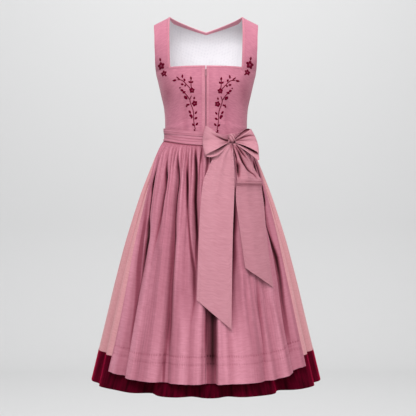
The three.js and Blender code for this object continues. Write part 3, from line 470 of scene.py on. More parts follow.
column = np.linspace(-1, 1, 121)
share = np.abs(column)
sewn_level = back_top_level(share)
open_level = np.where(share < 1, row_where(TORSO["z"], np.minimum(-0.05, BACK_POINT * (1 - share))), SHOULDER)
open_angle = np.sign(column) * angle_at(share * along(TORSO["neck"], open_level), open_level, False)
sewn_x = np.where(share < 1, share * (along(TORSO["neck"], sewn_level) + BINDING), 115 + 6.1)
below = row_where(TORSO["z"], np.minimum(0, along(TORSO["z"], sewn_level) + 0.3))
sewn_angle = np.sign(column) * angle_at(sewn_x, sewn_level, False)
open_angle, sewn_angle = (np.where(column == 0, np.pi, np.mod(a, 2 * np.pi)) for a in (open_angle, sewn_angle))
stations = [open_angle, open_level, sewn_angle, np.where(share < 1, below, sewn_level)]
cloth = folded_strip(*(row[::-1] for row in stations), False)
strip = piece("neck_binding_back_cloth", [cloth], bias_cotton_painted_paler)
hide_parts("neck_binding_back")


# Front closing
# A placket strip on each side of a separating zip. The tape is narrow polyester with small moulded teeth, and the
# slider with its swinging pull is zinc lacquered rose.

strip_levels = np.linspace(float(row_where(TORSO["z"], -179.6)), 0.95, 80)
for name, from_x, to_x in (("front_placket_right", -13.0, -2.2), ("front_placket_left", 2.2, 9.5)):
    x, level = np.meshgrid(np.linspace(from_x, to_x, 12), strip_levels)
    edge = np.minimum((x - from_x) / (to_x - from_x), (to_x - x) / (to_x - from_x))
    pucker = 0.25 * np.sin(level * 41 + x) * bell(edge / 0.3)
    base = on_torso(angle_at(x, level), level, 0.5 + 0.9 * np.sqrt(np.clip(edge * 6, 0, 1)) + pucker)
    # Painted shade over the plackets, which are cut from the paler bias cotton.
    strip = piece(name + "_cloth", [shell(base, 1.0, deep=0.24)], bias_cotton_painted_paler)
    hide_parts(name)

# Polyester tape in a close weave, with ribs drawn 1.2 mm apart instead of 0.4.
tape = woven("woven_zip_tape", "#60404A", "#744F59", 0.0012, 0.006, 0.9, 0.0, "#FFFFFF", 0.5)
x, level = np.meshgrid(np.linspace(-3.2, 3.2, 7), np.linspace(float(row_where(TORSO["z"], -183.0)), 0, 60))
strip = piece("zip_tape_cloth", [shell(on_torso(angle_at(x, level), level, -1.9), 0.7)], tape)
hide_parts("zip")


def moulded(name, shade, light, metallic, roughness):
    """A small hard part: a slightly uneven colour and a fine tumbled relief on object coordinates."""
    material, tree = blank_material(name)
    place = node(tree, "ShaderNodeTexCoord").outputs["Object"]
    grain = node(tree, "ShaderNodeTexNoise", {"Vector": place, "Scale": 900.0, "Detail": 4.0})
    colour = two_colours(tree, grain.outputs["Fac"], shade, light)
    bump = node(tree, "ShaderNodeBump", {"Height": grain.outputs["Fac"], "Strength": 0.25, "Distance": 0.0001})
    surfaced(
        tree,
        {"Base Color": colour, "Metallic": metallic, "Roughness": roughness, "Normal": bump.outputs["Normal"]},
    )
    return material


# Cast zinc under a rose lacquer, slightly worn.
lacquered_zinc = moulded("rose_lacquered_zinc", "#7E525C", "#96646F", 0.5, 0.4)
for name in ("zip_slider", "zip_pull"):
    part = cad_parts[name]
    part.data.materials.clear()
    part.data.materials.append(lacquered_zinc)

# Moulded polyester teeth, dyed like the tape.
teeth_finish = moulded("moulded_zip_teeth", "#5A3841", "#6E464F", 0.0, 0.45)
teeth = []  # low domes 1.65 mm apart, left and right by turns
for i, height in enumerate(np.arange(-197.5, -396.0, -1.65)):
    side = 1 if i % 2 else -1
    x, drop = np.meshgrid(np.linspace(-1, 1, 4), np.linspace(0.55, -0.55, 3))
    dome = 0.8 * np.sqrt(np.clip(1 - (x / 1.1) ** 2, 0, 1)) * (1 - 0.5 * (drop / 0.55) ** 2)
    grid = place_on_front(x + 0.4 * side, height + drop, -1.8 + dome)
    inner = place_on_front(x + 0.4 * side, height + drop, np.full_like(x, -1.9))
    teeth.append(shell(grid, inner))
piece("zip_teeth", teeth, teeth_finish)


# Embroidery
# Sprays of leaves, small flowers and stems in satin stitch, worked in wine-red thread on both fronts and both straps.
# Each petal and leaf is a low pad of thread, fuller in its middle.

# Rayon embroidery threads 0.4 mm thick, drawn 1.1 mm apart: wine red for the petals, dull rose for the knots in them.
satin_stitch = woven("wine_satin_stitch_thread", "#4E0018", "#6A0026", 0.0011, 0.004, 0.7, 0.05, "#C06080", 0.4)
knot_stitch = woven("pale_rose_knot_stitch_thread", "#7E2C46", "#8E3C54", 0.0011, 0.004, 0.7, 0.05, "#C06080", 0.4)
LEAVES = [  # x outward and z of the middle, length, width, degrees turned outward from upright
    (97, -216, 11, 4.5, 95), (86, -210, 12, 3, 50), (72.5, -205, 10, 4, -5), (66, -217, 8, 4.5, 20),
    (73, -230, 8, 4.5, 80), (63.5, -234, 6, 4, 160), (46, -212, 9, 4.5, 10), (50, -224, 8, 4, 60),
    (42, -224, 7, 4, -50), (74, -248, 9, 5, 60), (67.5, -254, 9, 5, 110), (80, -240, 4, 3.5, 0),
    (62.5, -270, 12, 6.5, 45), (36, -272, 7, 4, -20), (50, -313.5, 10, 4.5, 35), (46.5, -325, 10, 6, 60),
    (44, -330, 7, 4, 150), (31, -316, 9, 4, -40), (31, -333, 9, 5, -60), (39, -353, 9, 4.5, 45),
    (28, -351, 9, 4.5, -40),
]
FLOWERS = [  # x outward and z of the middle, radius, number of petals, degrees turned
    (43, -249, 7.6, 5, 0), (35, -288, 8, 5, 20), (55.5, -295, 6.5, 3, -30), (32, -371, 6, 3, 60),
]
STRAP_FLOWERS = {-1: [(140, -166, 10.5), (131, -190, 8.5)], 1: [(137, -163, 11.5), (129, -187, 8.5)]}
STEMS = [
    [(33, -368), (36, -352), (38.5, -335), (38, -318), (41, -303), (47, -290), (50, -277), (44, -262)],
    [(50, -277), (58, -264), (68, -254), (76, -246)],
    [(43, -249), (55, -236), (66, -224), (76, -216), (90, -215)],
    [(44, -246), (46, -232), (46, -216)],
]


def pad(x, z, length, width, turn, side):
    """A pointed oval of satin stitch: half width follows the sine of the place along it, height a low dome."""
    a, b = np.meshgrid(np.linspace(0, 1, 9), np.linspace(-1, 1, 7))
    lengthwise = (a - 0.5) * length
    crosswise = b * 0.5 * width * np.sin(np.pi * a) ** 0.8
    way = math.radians(90 - turn)
    px = lengthwise * math.cos(way) + crosswise * math.sin(way)
    pz = lengthwise * math.sin(way) - crosswise * math.cos(way)
    dome = np.sqrt(np.clip(1 - b**2, 0, 1)) * np.sin(np.pi * a) ** 0.4
    px, pz = side * (x + px), z + pz
    if side < 0:
        px, pz, dome = px[::-1], pz[::-1], dome[::-1]
    outer = place_on_front(px, pz, front_relief(px, pz) + 0.15 + dome)
    inner = place_on_front(px, pz, front_relief(px, pz) - 0.1)
    return shell(outer, inner)


def stem(points, side):
    """A line of stem stitch 2.6 mm wide: a half round strip along a path in front view."""
    path = np.array(points, float)
    path[:, 0] *= side
    run = np.concatenate([[0], np.hypot(*np.diff(path, axis=0).T).cumsum()])
    at = np.arange(0, run[-1] + 0.01, 2.0)
    x, z = (np.pad(np.interp(at, run, path[:, i]), 2, mode="edge") for i in (0, 1))
    x, z = (np.convolve(row, np.ones(5) / 5, "valid") for row in (x, z))
    ahead = unit(np.stack([np.gradient(x), np.gradient(z)], axis=-1))
    t = np.linspace(-1, 1, 5)[None, :]
    px = x[:, None] - ahead[:, 1:] * t * 1.3
    pz = z[:, None] + ahead[:, :1] * t * 1.3
    dome = 0.15 + 0.8 * np.sqrt(np.clip(1 - t**2, 0, 1))
    relief = front_relief(px, pz)
    return shell(place_on_front(px, pz, relief + dome), place_on_front(px, pz, relief - 0.1))


for side, name in ((-1, "embroidery_right"), (1, "embroidery_left")):
    sway = 0.0 if side < 0 else 1.0  # the left front is worked 1 mm further out and 2 mm lower
    worked = [pad(x + sway, z - 2 * sway, 1.3 * size, 1.5 * wide, turn, side) for x, z, size, wide, turn in LEAVES]
    centres = []
    for x, z, radius, petals, turned in FLOWERS:
        for i in range(petals):
            turn = turned + i * (360 / 5 if petals == 5 else 65)
            away = math.radians(turn)
            middle_x, middle_z = x + 0.68 * radius * math.sin(away), z + 0.68 * radius * math.cos(away)
            worked.append(pad(middle_x + sway, middle_z - 2 * sway, radius * 1.05, radius * 0.95, turn, side))
        if petals == 5:
            centres.append(pad(x + sway, z - 2 * sway, radius * 0.42, radius * 0.42, 20, side))
    worked += [stem([(x + sway, z - 2 * sway) for x, z in line], side) for line in STEMS]
    strap = STRAP_FLOWERS[side]
    for x, z, radius in strap:
        for i in range(5):
            turn = 10 + i * 72
            away = math.radians(turn)
            middle_x, middle_z = x + 0.66 * radius * math.sin(away), z + 0.66 * radius * math.cos(away)
            worked.append(pad(middle_x, middle_z, radius, radius * 0.85, turn, side))
        centres.append(pad(x, z, radius * 0.4, radius * 0.4, 20, side))
    worked.append(pad(strap[0][0] + 3, strap[0][1] + 19, 12, 6.5, 15, side))
    worked.append(pad(strap[0][0] - 16, strap[0][1] - 32, 7, 5, 60, side))
    piece(name, worked, satin_stitch, crisp=75)
    piece(name + "_centres", centres, knot_stitch, crisp=75)


# Skirt
# Four straight widths of light cotton gathered to the waist seam, falling in deep soft folds. The cloth is a paler
# salmon rose than the bodice, with a faint bloom. Seams at the sides, centre front and centre back.

SKIRT = {
    "drop": [0, 30, 65, 129, 193, 321, 449, 545, 641, 758],
    "side": [131, 148, 164, 190, 214, 255, 289, 312, 335, 363],
}
LENGTH, HEM = 758.0, -1150.0
FULLNESS = {  # by share of the length: height of the gathers, share of the folds' depth, set back under the apron
    "share": [0, 0.02, 0.07, 0.2, 0.36, 0.54, 0.72, 0.876, 0.94, 1],
    "gather": [1.0, 2.2, 3.6, 2.2, 0.8, 0, 0, 0, 0, 0],
    "valley": [0, 0, 0.05, 0.22, 0.42, 0.62, 0.82, 0.95, 1, 1],
    "inset": [0, 3, 11, 22, 29, 31, 31, 27, 22, 16],
}
SKIRT_VALLEYS = {  # degrees round from the centre front, half width in degrees, depth at the hem
    "at": [-158, -137, -117, -99, -70, -30.5, -7, 11, 43, 72, 101, 121, 140, 160, 179],
    "wide": [5.5, 6.0, 5.0, 5.5, 5.0, 5.5, 5.0, 4.5, 5.5, 4.5, 5.0, 6.0, 5.0, 5.5, 5.0],
    "deep": [30, 36, 28, 26, 14, 34, 24, 22, 34, 14, 30, 34, 26, 34, 24],
}
SKIRT_CREASES = {  # creases: degrees at the waist, at the hem, half width, depth, share where it dies out
    "top": [-82, -74, -95, -107, -121, -133, -147, -166, 76, 84, 93, 108, 117, 130, 149, 168],
    "foot": [-79, -67, -96, -109, -124, -131, -150, -169, 69, 80, 95, 111, 116, 134, 152, 171],
    "wide": [4.0, 5.0, 5.0, 4.0, 5.0, 4.5, 5.0, 4.0, 5.0, 4.0, 5.0, 4.5, 5.0, 4.0, 5.0, 4.5],
    "deep": [7, 6, 8, 7, 9, 6, 8, 7, 6, 8, 7, 9, 6, 8, 7, 8],
    "dies": [0.7, 1.2, 0.6, 0.9, 0.7, 0.5, 0.8, 0.6, 1.2, 0.8, 0.6, 0.9, 0.5, 0.8, 0.6, 0.9],
}


def waist_z(angle):
    """Height of the waist seam, which dips towards the centre front by the square of the cosine."""
    return WAIST - np.where(np.cos(angle) > 0, FRONT_DIP * np.cos(angle) ** 2, 0)


def oval(angle, share):
    """Half width and depth of the line on which the skirt's fold crests hang."""
    side = along(SKIRT["side"], row_where(SKIRT["drop"], LENGTH * share))
    front = np.cos(angle) >= 0
    return side, side - np.where(front, 34, 39) + np.where(front, 36, 30) * share


def hang(angle, share, out):
    """A point of the skirt: an oval at each share of the way down, moved out level with the ground."""
    side, depth = oval(angle, share)
    normal = unit(np.stack([np.sin(angle) / side, -np.cos(angle) / depth, 0 * angle], axis=-1))
    top = waist_z(angle) - 0.3
    z = top - share * (top - HEM)
    return np.stack([side * np.sin(angle), -depth * np.cos(angle), z], axis=-1) + normal * np.asarray(out)[..., None]


def turn_between(a, b):
    """Degrees from b to a the short way round."""
    return (a - b + 180) % 360 - 180


def skirt_broad(angle, share):
    """How far the skirt's broad folds lie outside its oval: gathers, less the large valleys, less the inset under the
    apron. Also the painted shade in the gathers' and valleys' hollows, and the share, 0 to 1, that lies under the
    apron."""
    degrees = np.degrees(angle)
    under = 1 - smooth((np.abs(turn_between(degrees, 0)) - 47) / 18)
    read = {key: np.interp(share, FULLNESS["share"], FULLNESS[key]) for key in ("gather", "valley", "inset")}
    wave = np.cos(64 * angle) * (0.75 + 0.25 * np.sin(7 * angle + 1)) * (1 - 0.6 * under)
    valleys = sum(
        deep * bell(turn_between(degrees, at) / wide)
        for at, wide, deep in zip(SKIRT_VALLEYS["at"], SKIRT_VALLEYS["wide"], SKIRT_VALLEYS["deep"])
    )
    out = read["gather"] * wave - read["valley"] * valleys - read["inset"] * under
    painted_shade = 0.35 * np.clip(-wave, 0, 1) ** 2 * read["gather"] / 3.6 + 0.3 * read["valley"] * np.clip(valleys / 36, 0, 1)
    return out, painted_shade, under


def skirt_out(angle, share):
    """The broad folds less the creases, which are narrow bells fading down the length, and the painted shade in folds
    and creases.
    A fine crimp lies below the waist seam."""
    out, painted_shade, under = skirt_broad(angle, share)
    degrees = np.degrees(angle)
    reach = np.radians(1) * oval(angle, share)[0]
    for top, foot, wide, deep, dies in zip(*SKIRT_CREASES.values()):
        away = np.abs(turn_between(degrees, mix(foot, top, (1 - share) ** 2))) * reach
        strength = smooth(share / 0.1) * smooth((dies - share) / 0.3) * (1 - under)
        out = out - strength * deep * np.exp(-((away / wide) ** 1.3))
        painted_shade = np.maximum(painted_shade, 0.45 * strength * bell(away / wide))
    crimp = np.cos(190 * angle + 3 * np.sin(9 * angle))
    return out + 0.7 * crimp * bell((share - 0.03) / 0.05) * (1 - under), painted_shade


# Light cotton satin. Its threads lie 0.3 mm apart and are drawn 2.6 mm apart, so that the weave shows at this size.
salmon_cotton = woven("salmon_skirt_cotton", "#C0858B", "#CB9196", 0.0026, 0.02, 0.62, 0.2, "#FFDCD8", 0.3)
QUARTERS = (("front_left", 0), ("back_left", 1), ("back_right", 2), ("front_right", 3))
COLUMNS = 150  # columns in a quarter
VELVET_FROM = 0.876  # share of the length at which the velvet begins
down = np.linspace(0, VELVET_FROM, 64)


def skirt_quarter(quarter, shares, proud, thickness):
    """One width: its share of the whole round, from seam to seam, with its edges drawn together by the seam."""
    degrees = np.linspace(quarter * 90, quarter * 90 + 90, COLUMNS + 1)
    angle, share = np.meshgrid(np.radians(degrees), shares)
    side = oval(angle, share)[0]
    seam = np.minimum(degrees - quarter * 90, quarter * 90 + 90 - degrees)[None, :] * np.radians(1) * side
    relief = proud - 0.9 * bell(seam / 1.8) + 0.3 * bell((seam - 6) / 3) * np.sin(share * 240)
    out, painted_shade = skirt_out(angle, share)
    outer = hang(angle, share, out + relief)
    normal = unit(hang(angle, share, out + relief + 1) - outer)
    # The painted shade of the folds goes with each width.
    return shell(outer, outer - normal * thickness, cut=0.58, deep=painted_shade)


for name, quarter in QUARTERS:
    width = piece(f"skirt_{name}_cloth", [skirt_quarter(quarter, down, 0, 1.6)], salmon_cotton)
    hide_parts(f"skirt_{name}")
    above = "bodice_back_cloth" if "back" in name else f"bodice_{name}_cloth"


# Velvet hem
# A band of wine-red cotton velvet round the foot of the skirt, its short pile dark head on and bright at the crests.


def velvet(name):
    """Cotton velvet: nearly black red in its depth, with a sheen that lights the pile where it turns away."""
    material, tree = blank_material(name)
    place = node(tree, "ShaderNodeUVMap", uv_map="cut").outputs["UV"]
    brushed = node(tree, "ShaderNodeMapping", {"Vector": place, "Scale": (90, 14, 1)})
    strokes = node(tree, "ShaderNodeTexNoise", {"Vector": brushed.outputs[0], "Scale": 1.0, "Detail": 4.0})
    pile = node(tree, "ShaderNodeTexNoise", {"Vector": place, "Scale": 900.0, "Detail": 2.0})
    colour = two_colours(tree, strokes.outputs["Fac"], "#280008", "#4C0016", 0.35, 0.7)
    bump = node(tree, "ShaderNodeBump", {"Height": pile.outputs["Fac"], "Strength": 0.6, "Distance": 0.0006})
    surfaced(
        tree,
        {
            "Base Color": colour,
            "Roughness": 0.95,
            "Specular IOR Level": 0.03,
            "Sheen Weight": 0.62,
            "Sheen Roughness": 0.35,
            "Sheen Tint": linear("#E00C50"),
            "Normal": bump.outputs["Normal"],
        },
    )
    return material


# Wine-red cotton velvet with a pile 1.5 mm deep.
wine_velvet = velvet("wine_cotton_velvet")
for name, quarter in QUARTERS:
    rows = np.linspace(VELVET_FROM + 0.3 / LENGTH, 1, 16)
    band = piece(f"velvet_{name}", [skirt_quarter(quarter, rows, 0.6, 2.6)], wine_velvet)
    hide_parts(f"hem_band_{name}")


# Apron
# One wide width of rose satin-faced taffeta, gathered by hand into the band in fine cords that open into long folds.
# Sharp creases run down from the gathers; the hem is turned up and stitched twice.

APRON_TOP, APRON_FOOT = 0.0062, 0.946  # shares of the skirt's length that the apron spans
APRON_HANG = {  # by share of the skirt's length: crest line, gather height, least distance from the skirt
    "share": [0.0062, 0.02, 0.045, 0.07, 0.13, 0.2, 0.36, 0.54, 0.72, 0.946],
    "crest": [4.6, 8.0, 12.0, 13.0, 12.5, 10.0, 6.5, 4.5, 3.5, 3.5],
    "gather": [0.5, 2.2, 3.6, 4.0, 3.4, 2.6, 1.2, 0, 0, 0],
    "clear": [2.7, 4.2, 5.5, 6.0, 6.5, 6.5, 6.5, 6.5, 6.5, 6.5],
}
APRON_VALLEYS = [  # wide soft valleys: degrees at the waist and the hem, half width, depth, share from, share to
    (-68, -45, 2.6, 27, 0.02, 1.3), (-56, -51, 2.0, 8, 0.1, 0.8), (-42, -33, 2.6, 16, 0.02, 0.55),
    (-31, -20.5, 3.0, 28, 0.03, 1.3), (-20, -10, 3.0, 17, 0.02, 0.85), (-10, -5.7, 2.4, 20, 0.02, 0.8),
    (8, 0.8, 3.0, 30, 0.3, 1.4), (26, 15.5, 2.8, 22, 0.05, 0.85), (26, 30.5, 3.2, 13, 0.35, 1.2),
    (34, 38, 3.0, 13, 0.3, 1.2), (60, 51, 2.6, 26, 0.02, 1.3),
]
APRON_CREASES = [  # creases and, below zero, ridges: (share, degrees, depth) down the fold, half width, strength of painted shade
    ([(0.07, -61, 4), (0.11, -59.5, 8), (0.16, -58, 12), (0.19, -56, 18), (0.24, -53.5, 24), (0.3, -51, 22),
      (0.4, -46.5, 18), (0.5, -46, 13), (0.67, -46.5, 12), (0.81, -46.5, 4)], 6, 1.3),
    ([(0.35, -47, 3), (0.5, -45.5, 8), (0.65, -46.5, 9), (0.84, -47.5, 5)], 15, 0.9),
    ([(0.01, -60.5, 4), (0.04, -59.5, 10), (0.09, -59, 3)], 3.5, 0.8),
    ([(0.04, -50, 8), (0.1, -48, 7), (0.2, -45, 3)], 3.5, 0.5),
    ([(0.07, -46, 4), (0.11, -44, 12), (0.15, -41.5, 20), (0.2, -39, 20), (0.24, -38.5, 15), (0.31, -37.5, 10),
      (0.49, -37.5, 4)], 4.5, 1.0),
    ([(0.03, -37, 8), (0.09, -35.5, 7), (0.17, -34, 3)], 3.2, 0.5),
    ([(0.05, -32.5, 5), (0.11, -29.5, 18), (0.15, -27.5, 22), (0.18, -26.5, 21), (0.24, -26, 15), (0.32, -25, 12),
      (0.39, -23, 15), (0.45, -22.5, 12), (0.58, -23, 9), (0.73, -22, 15), (0.81, -22, 10), (0.88, -22, 13),
      (0.95, -21, 10)], 4.5, 1.0),
    ([(0.03, -26.5, 8), (0.08, -24.5, 8), (0.16, -23, 3)], 3.2, 0.6),
    ([(0.04, -22, 6), (0.09, -19.5, 7), (0.14, -18.5, 16), (0.19, -17, 15), (0.29, -14.5, 8), (0.43, -10.5, 12),
      (0.52, -7.5, 14), (0.58, -7, 14), (0.64, -6.5, 10), (0.71, -8, 7), (0.86, -9.5, 2)], 4, 1.0),
    ([(0.03, -16, 8), (0.08, -14.5, 7), (0.15, -13.5, 3)], 3.2, 0.5),
    ([(0.02, -12.5, 6), (0.09, -10.5, 20), (0.14, -9.5, 24), (0.24, -9, 24), (0.32, -7.5, 21), (0.38, -6.5, 16),
      (0.47, -6.5, 12), (0.54, -7, 5)], 4.5, 1.0),
    ([(0.02, -5, 10), (0.06, -5.5, 11), (0.1, -6.5, 8), (0.2, -6.5, 3)], 3.5, 1.0),
    ([(0.02, 2.5, 10), (0.08, 2, 10), (0.13, 0, 7), (0.19, -2.5, 3)], 3.5, 1.0),
    ([(0.2, 26, 10), (0.26, 23.5, 20), (0.34, 21.5, 20), (0.39, 19.5, 17), (0.47, 18.5, 16), (0.55, 16.5, 13),
      (0.62, 15.5, 10), (0.78, 15.5, 2)], 8, 1.0),
    ([(0.53, 26, 4), (0.62, 24.5, 7), (0.73, 24, 4)], 9, 0.8),
    ([(0.53, 33.5, 6), (0.66, 32.5, 11), (0.81, 32, 9), (0.94, 30.5, 7)], 8, 0.9),
    ([(0.6, 39, 4), (0.68, 40.5, 7), (0.8, 40.5, 5)], 9, 0.8),
    ([(0.62, 44, 5), (0.75, 46.5, 8), (0.9, 47, 6)], 10, 0.7),
    ([(0.45, -33, 4), (0.6, -33.5, 6), (0.8, -34.5, 6), (0.94, -35, 4)], 9, 0.6),
    ([(0.6, -14.5, 4), (0.75, -15, 7), (0.93, -14.5, 5)], 8, 0.8),
    ([(0.66, 12, 4), (0.78, 12.5, 7), (0.93, 12, 5)], 8, 0.7),
    ([(0.1, 60, 10), (0.14, 57, 13), (0.2, 54, 12), (0.26, 51, 4)], 8, 1.6),
    ([(0.02, 66, 8), (0.09, 65.5, 10), (0.13, 65, 12), (0.17, 62.5, 13), (0.22, 59.5, 17), (0.28, 55, 16),
      (0.35, 52, 14), (0.48, 54.5, 17), (0.56, 54, 14), (0.66, 52.5, 12), (0.79, 52, 7), (0.86, 52, 3)], 5.5, 1.3),
    ([(0.42, -29, -4), (0.58, -28, -4)], 5, 0),
    ([(0.53, 22.5, -4), (0.62, 21, -5), (0.81, 20, -2)], 5, 0),
    ([(0.55, 30, -4), (0.64, 29.5, -6), (0.74, 31, -6), (0.83, 31.5, -3)], 4.5, 0),
    ([(0.61, 36, -4), (0.67, 39.5, -5), (0.75, 40.5, -5), (0.82, 39.5, -2)], 5, 0),
    ([(0.64, -1, -3), (0.74, -0.5, -6), (0.95, -0.5, -6)], 5, 0),
    ([(0.71, 7, -4), (0.82, 6.5, -5), (0.95, 6, -5)], 6, 0),
]


def creased(lines, down, across, reach, spread=1.0):
    """Depth in millimetres and painted shade, 0 to 1, of creases that run through their points (down, across, depth).
    The section is a narrow point on a broad bell; reach turns a step across into millimetres, spread widens the creases
    and pales their painted shade."""
    depth = np.zeros(np.broadcast(down, across).shape)
    painted_shade = np.zeros_like(depth)
    for points, wide, shade in lines:
        at = np.array(points)
        centre, deep = (np.interp(down, at[:, 0], at[:, i]) for i in (1, 2))
        ends = smooth((down - at[0, 0] + 0.03) / 0.04) * smooth((at[-1, 0] + 0.08 - down) / 0.08)
        away = (across - centre) * reach / spread
        section = 0.7 * np.exp(-(np.abs(away / wide) ** 1.3)) + 0.3 * bell(away / (3 * wide))
        depth = depth + ends * deep * section
        tone = (bell(away / (0.85 * wide)) + 0.28 * bell(away / (2.6 * wide))) * (1.5 - 0.5 * spread)
        painted_shade = np.maximum(painted_shade, shade * ends * np.clip(deep / 18, 0, 1) * tone)
    return depth, np.clip(painted_shade, 0, 1)


def apron_angle(u, share):
    """Angle of a column: the apron spans more of the waist's oval than of the hem's."""
    spread = (1 - share) ** 5
    return np.radians(mix(-55.5 - 24 * spread, 58.5 + 21 * spread, u))


def skirt_near(angle, share):
    """Outermost place of the skirt within 3.75 degrees to either side."""
    step = np.radians(3.75)
    return np.max([skirt_broad(angle + i * step, share)[0] for i in (-1, -0.5, 0, 0.5, 1)], axis=0)


def apron_out(u, share):
    """Height over the oval, and painted shade. Crest line plus gathers with round crests and sharp valleys, less the
    soft valleys, the creases and one deep box fold near the centre, but never nearer to the skirt than it may lie."""
    angle = apron_angle(u, share)
    degrees = np.degrees(angle)
    side, depth = oval(angle, share)
    reach = np.radians(1) * np.hypot(side * np.cos(angle), depth * np.sin(angle))
    read = {key: np.interp(share, APRON_HANG["share"], APRON_HANG[key]) for key in ("crest", "gather", "clear")}
    valleys = sum(
        mix(0.5, 1, share) * smooth((share - start) / 0.16) * smooth((end - share) / 0.3) * 0.85 * deep
        * bell((degrees - mix(foot, top, (1 - share) ** 2)) / wide)
        for top, foot, wide, deep, start, end in APRON_VALLEYS
    )
    cords = 31 * u + 0.35 * np.sin(19 * u) + 0.25 * np.sin(47 * u + 1)
    uneven = 0.78 + 0.22 * np.sin(23 * u + 0.7)
    length = 0.5 + 0.5 * np.sin(np.floor(cords + 0.5) * 2.4) ** 2
    sunk = 1 - np.abs(np.cos(np.pi * cords)) ** 0.75
    fade = mix(0.2, 1, smooth((0.56 * length + 0.06 - share) / 0.3))
    gather = read["gather"] * (1 - 2 * sunk) * uneven * fade
    crimp = 0.9 * np.cos(2 * np.pi * (97 * u + 1.2 * np.sin(11 * u))) * bell((share - 0.02) / 0.03)
    crimp = crimp + 0.6 * np.cos(2 * np.pi * (62 * u + np.sin(17 * u))) * bell((share - 0.08) / 0.08)
    streak = 0.4 * np.sin(2 * np.pi * (73 * u + 1.1 * np.sin(9 * u))) * (0.5 + 0.5 * np.sin(21 * u + 5 * share))
    streak = streak + 0.8 * np.sin(2 * np.pi * (29 * u + 0.6 * np.sin(11 * u + share))) * np.sin(8 * u + 4 * share)
    edge = smooth((np.abs(u - 0.5) - 0.36) / 0.14) * smooth((0.5 - share) / 0.3)
    sharp, painted_shade = creased(APRON_CREASES, share, degrees, reach, mix(0.85, 1.6, smooth((share - 0.2) / 0.35)))
    away = (degrees - np.interp(share, [0.59, 0.67, 0.79, 0.95], [3.5, 3.3, 3.1, 2.6])) * reach
    box = smooth((share - 0.6) / 0.08) * (1 - smooth((np.abs(away) - 11) / 7))
    # Painted shade at the bottom of the box fold, in the gathers' valleys, as a painted shadow under the band and in
    # the soft valleys.
    painted_shade = np.maximum(painted_shade, box * (0.78 + 0.22 * bell((away - 4) / 7)) * (1 - 0.3 * smooth((share - 0.84) / 0.08)))
    painted_shade = np.maximum(painted_shade, 0.6 * sunk**2 * fade * read["gather"] / 4 * smooth((0.4 - share) / 0.2))
    painted_shade = np.maximum(painted_shade, 0.8 * bell((share - APRON_TOP) / 0.006))
    painted_shade = np.maximum(painted_shade, 0.56 * np.clip(valleys / 18, 0, 1) ** 1.5 * (1 - 0.6 * smooth((share - 0.74) / 0.16)))
    # Painted highlights: a flat painted shade of 0.27 lies over the rest of the apron and is left off the crests of the
    # gathers and off broad bands lower down.
    crest = (1 - sunk) ** 4 * uneven * smooth((0.46 - share) / 0.36) * smooth((share - 0.01) / 0.03)
    crest = crest * (0.75 + 0.25 * np.sin(2 * np.pi * (61 * u + np.sin(13 * u))))
    broad = 0.5 + 0.5 * np.sin(2 * np.pi * (8.6 * u + 0.3 * np.sin(15 * u) + 0.1 * np.sin(5 * share + 9 * u)))
    broad = broad * smooth((share - 0.22) / 0.25) * (1 - np.clip(valleys / 9, 0, 1)) + 0.12 * streak
    painted_shade = np.maximum(painted_shade, 0.27 * (1 - np.clip(np.maximum(crest, broad), 0, 1)))
    swell = 1.6 * np.sin(7.3 * u * np.pi + 2 * share) * np.sin(5 * share + 1) * smooth((share - 0.25) / 0.3)
    free = (read["crest"] + gather) * (1 - 0.6 * edge) + crimp + swell + streak * smooth((share - 0.1) / 0.1)
    free = free - valleys - sharp - 24 * box
    least = skirt_near(angle, share) + mix(read["clear"] - 1.5, 1.3, edge)
    return np.maximum(free, least) + 0.9 * np.exp(-np.abs(free - least) / 2.0), np.clip(painted_shade, 0, 1)


def apron_rise(u):
    """How much less of the length the hem covers near its corners."""
    return (11 * bell(u / 0.1) + 24 * bell((1 - u) / 0.12)) / LENGTH


def apron_point(u, row):
    """Points and painted shade of the apron, row from 0 at the band to 1 at the hem. The hem is turned up and stitched
    along two lines, 76 and 54 mm above its edge, with small puckers between them and painted shade along the lines."""
    low = APRON_FOOT - apron_rise(u)
    share = APRON_TOP + (low - APRON_TOP) * row
    above_hem = (low - share) * LENGTH
    out, painted_shade = apron_out(u, share)
    stitched = bell((above_hem - 76) / 2.2) + 0.7 * bell((above_hem - 54) / 2.2)
    pucker = np.sin(2 * np.pi * u * 88 + 3 * np.sin(31 * u)) * (0.6 + 0.4 * np.sin(53 * u))
    pucker = pucker * (bell((above_hem - 74) / 7) + 0.7 * bell((above_hem - 53) / 7))
    turned = 0.6 * smooth((78 - above_hem) / 2) - stitched + 1.1 * pucker
    # Painted shade along the stitch lines, broken where the puckers rise.
    shaded = 0.2 * np.clip(stitched * (0.6 - 0.8 * pucker), 0, 1)
    return hang(apron_angle(u, share), share, out + turned), np.clip(painted_shade + shaded, 0, 1)


# Satin-faced taffeta. Its threads lie 0.1 mm apart and are drawn 2.8 mm apart, with long slubs in the weft.
# Its colour is that of lit crests: apron, band and ties carry painted shade over open cloth, left off the apron's
# crests as painted highlights.
rose_satin = woven("rose_satin_taffeta", "#B57686", "#C18292", 0.0028, 0.03, 0.4, 0.02, "#FFD0DC", 0.3, 0.25)
hem_from = 0.874  # the rows lie closer from here down
rows = np.concatenate([hem_from * np.linspace(0, 1, 65)[:-1] ** 1.15, np.linspace(hem_from, 1, 36)])
u, row = np.meshgrid(np.linspace(0, 1, 461), rows)
points, painted_shade = apron_point(u, row)
apron = piece("apron_cloth", [shell(points, 0.9, cut=0.86, deep=painted_shade)], rose_satin, crisp=75)
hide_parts("apron")


# Apron band and ties
# The gathers are sewn into a doubled band of the same satin. Its two long ties cross at the back and come round
# to the wearer's left, where they are knotted over the band.


def on_waist(angle, above, out):
    """A point of the waist's oval at a height above the seam, set out a little more the higher it is."""
    point = hang(angle, np.zeros_like(angle), out + 0.06 * np.maximum(0, above - 10))
    point[..., 2] = waist_z(angle) + above
    return point


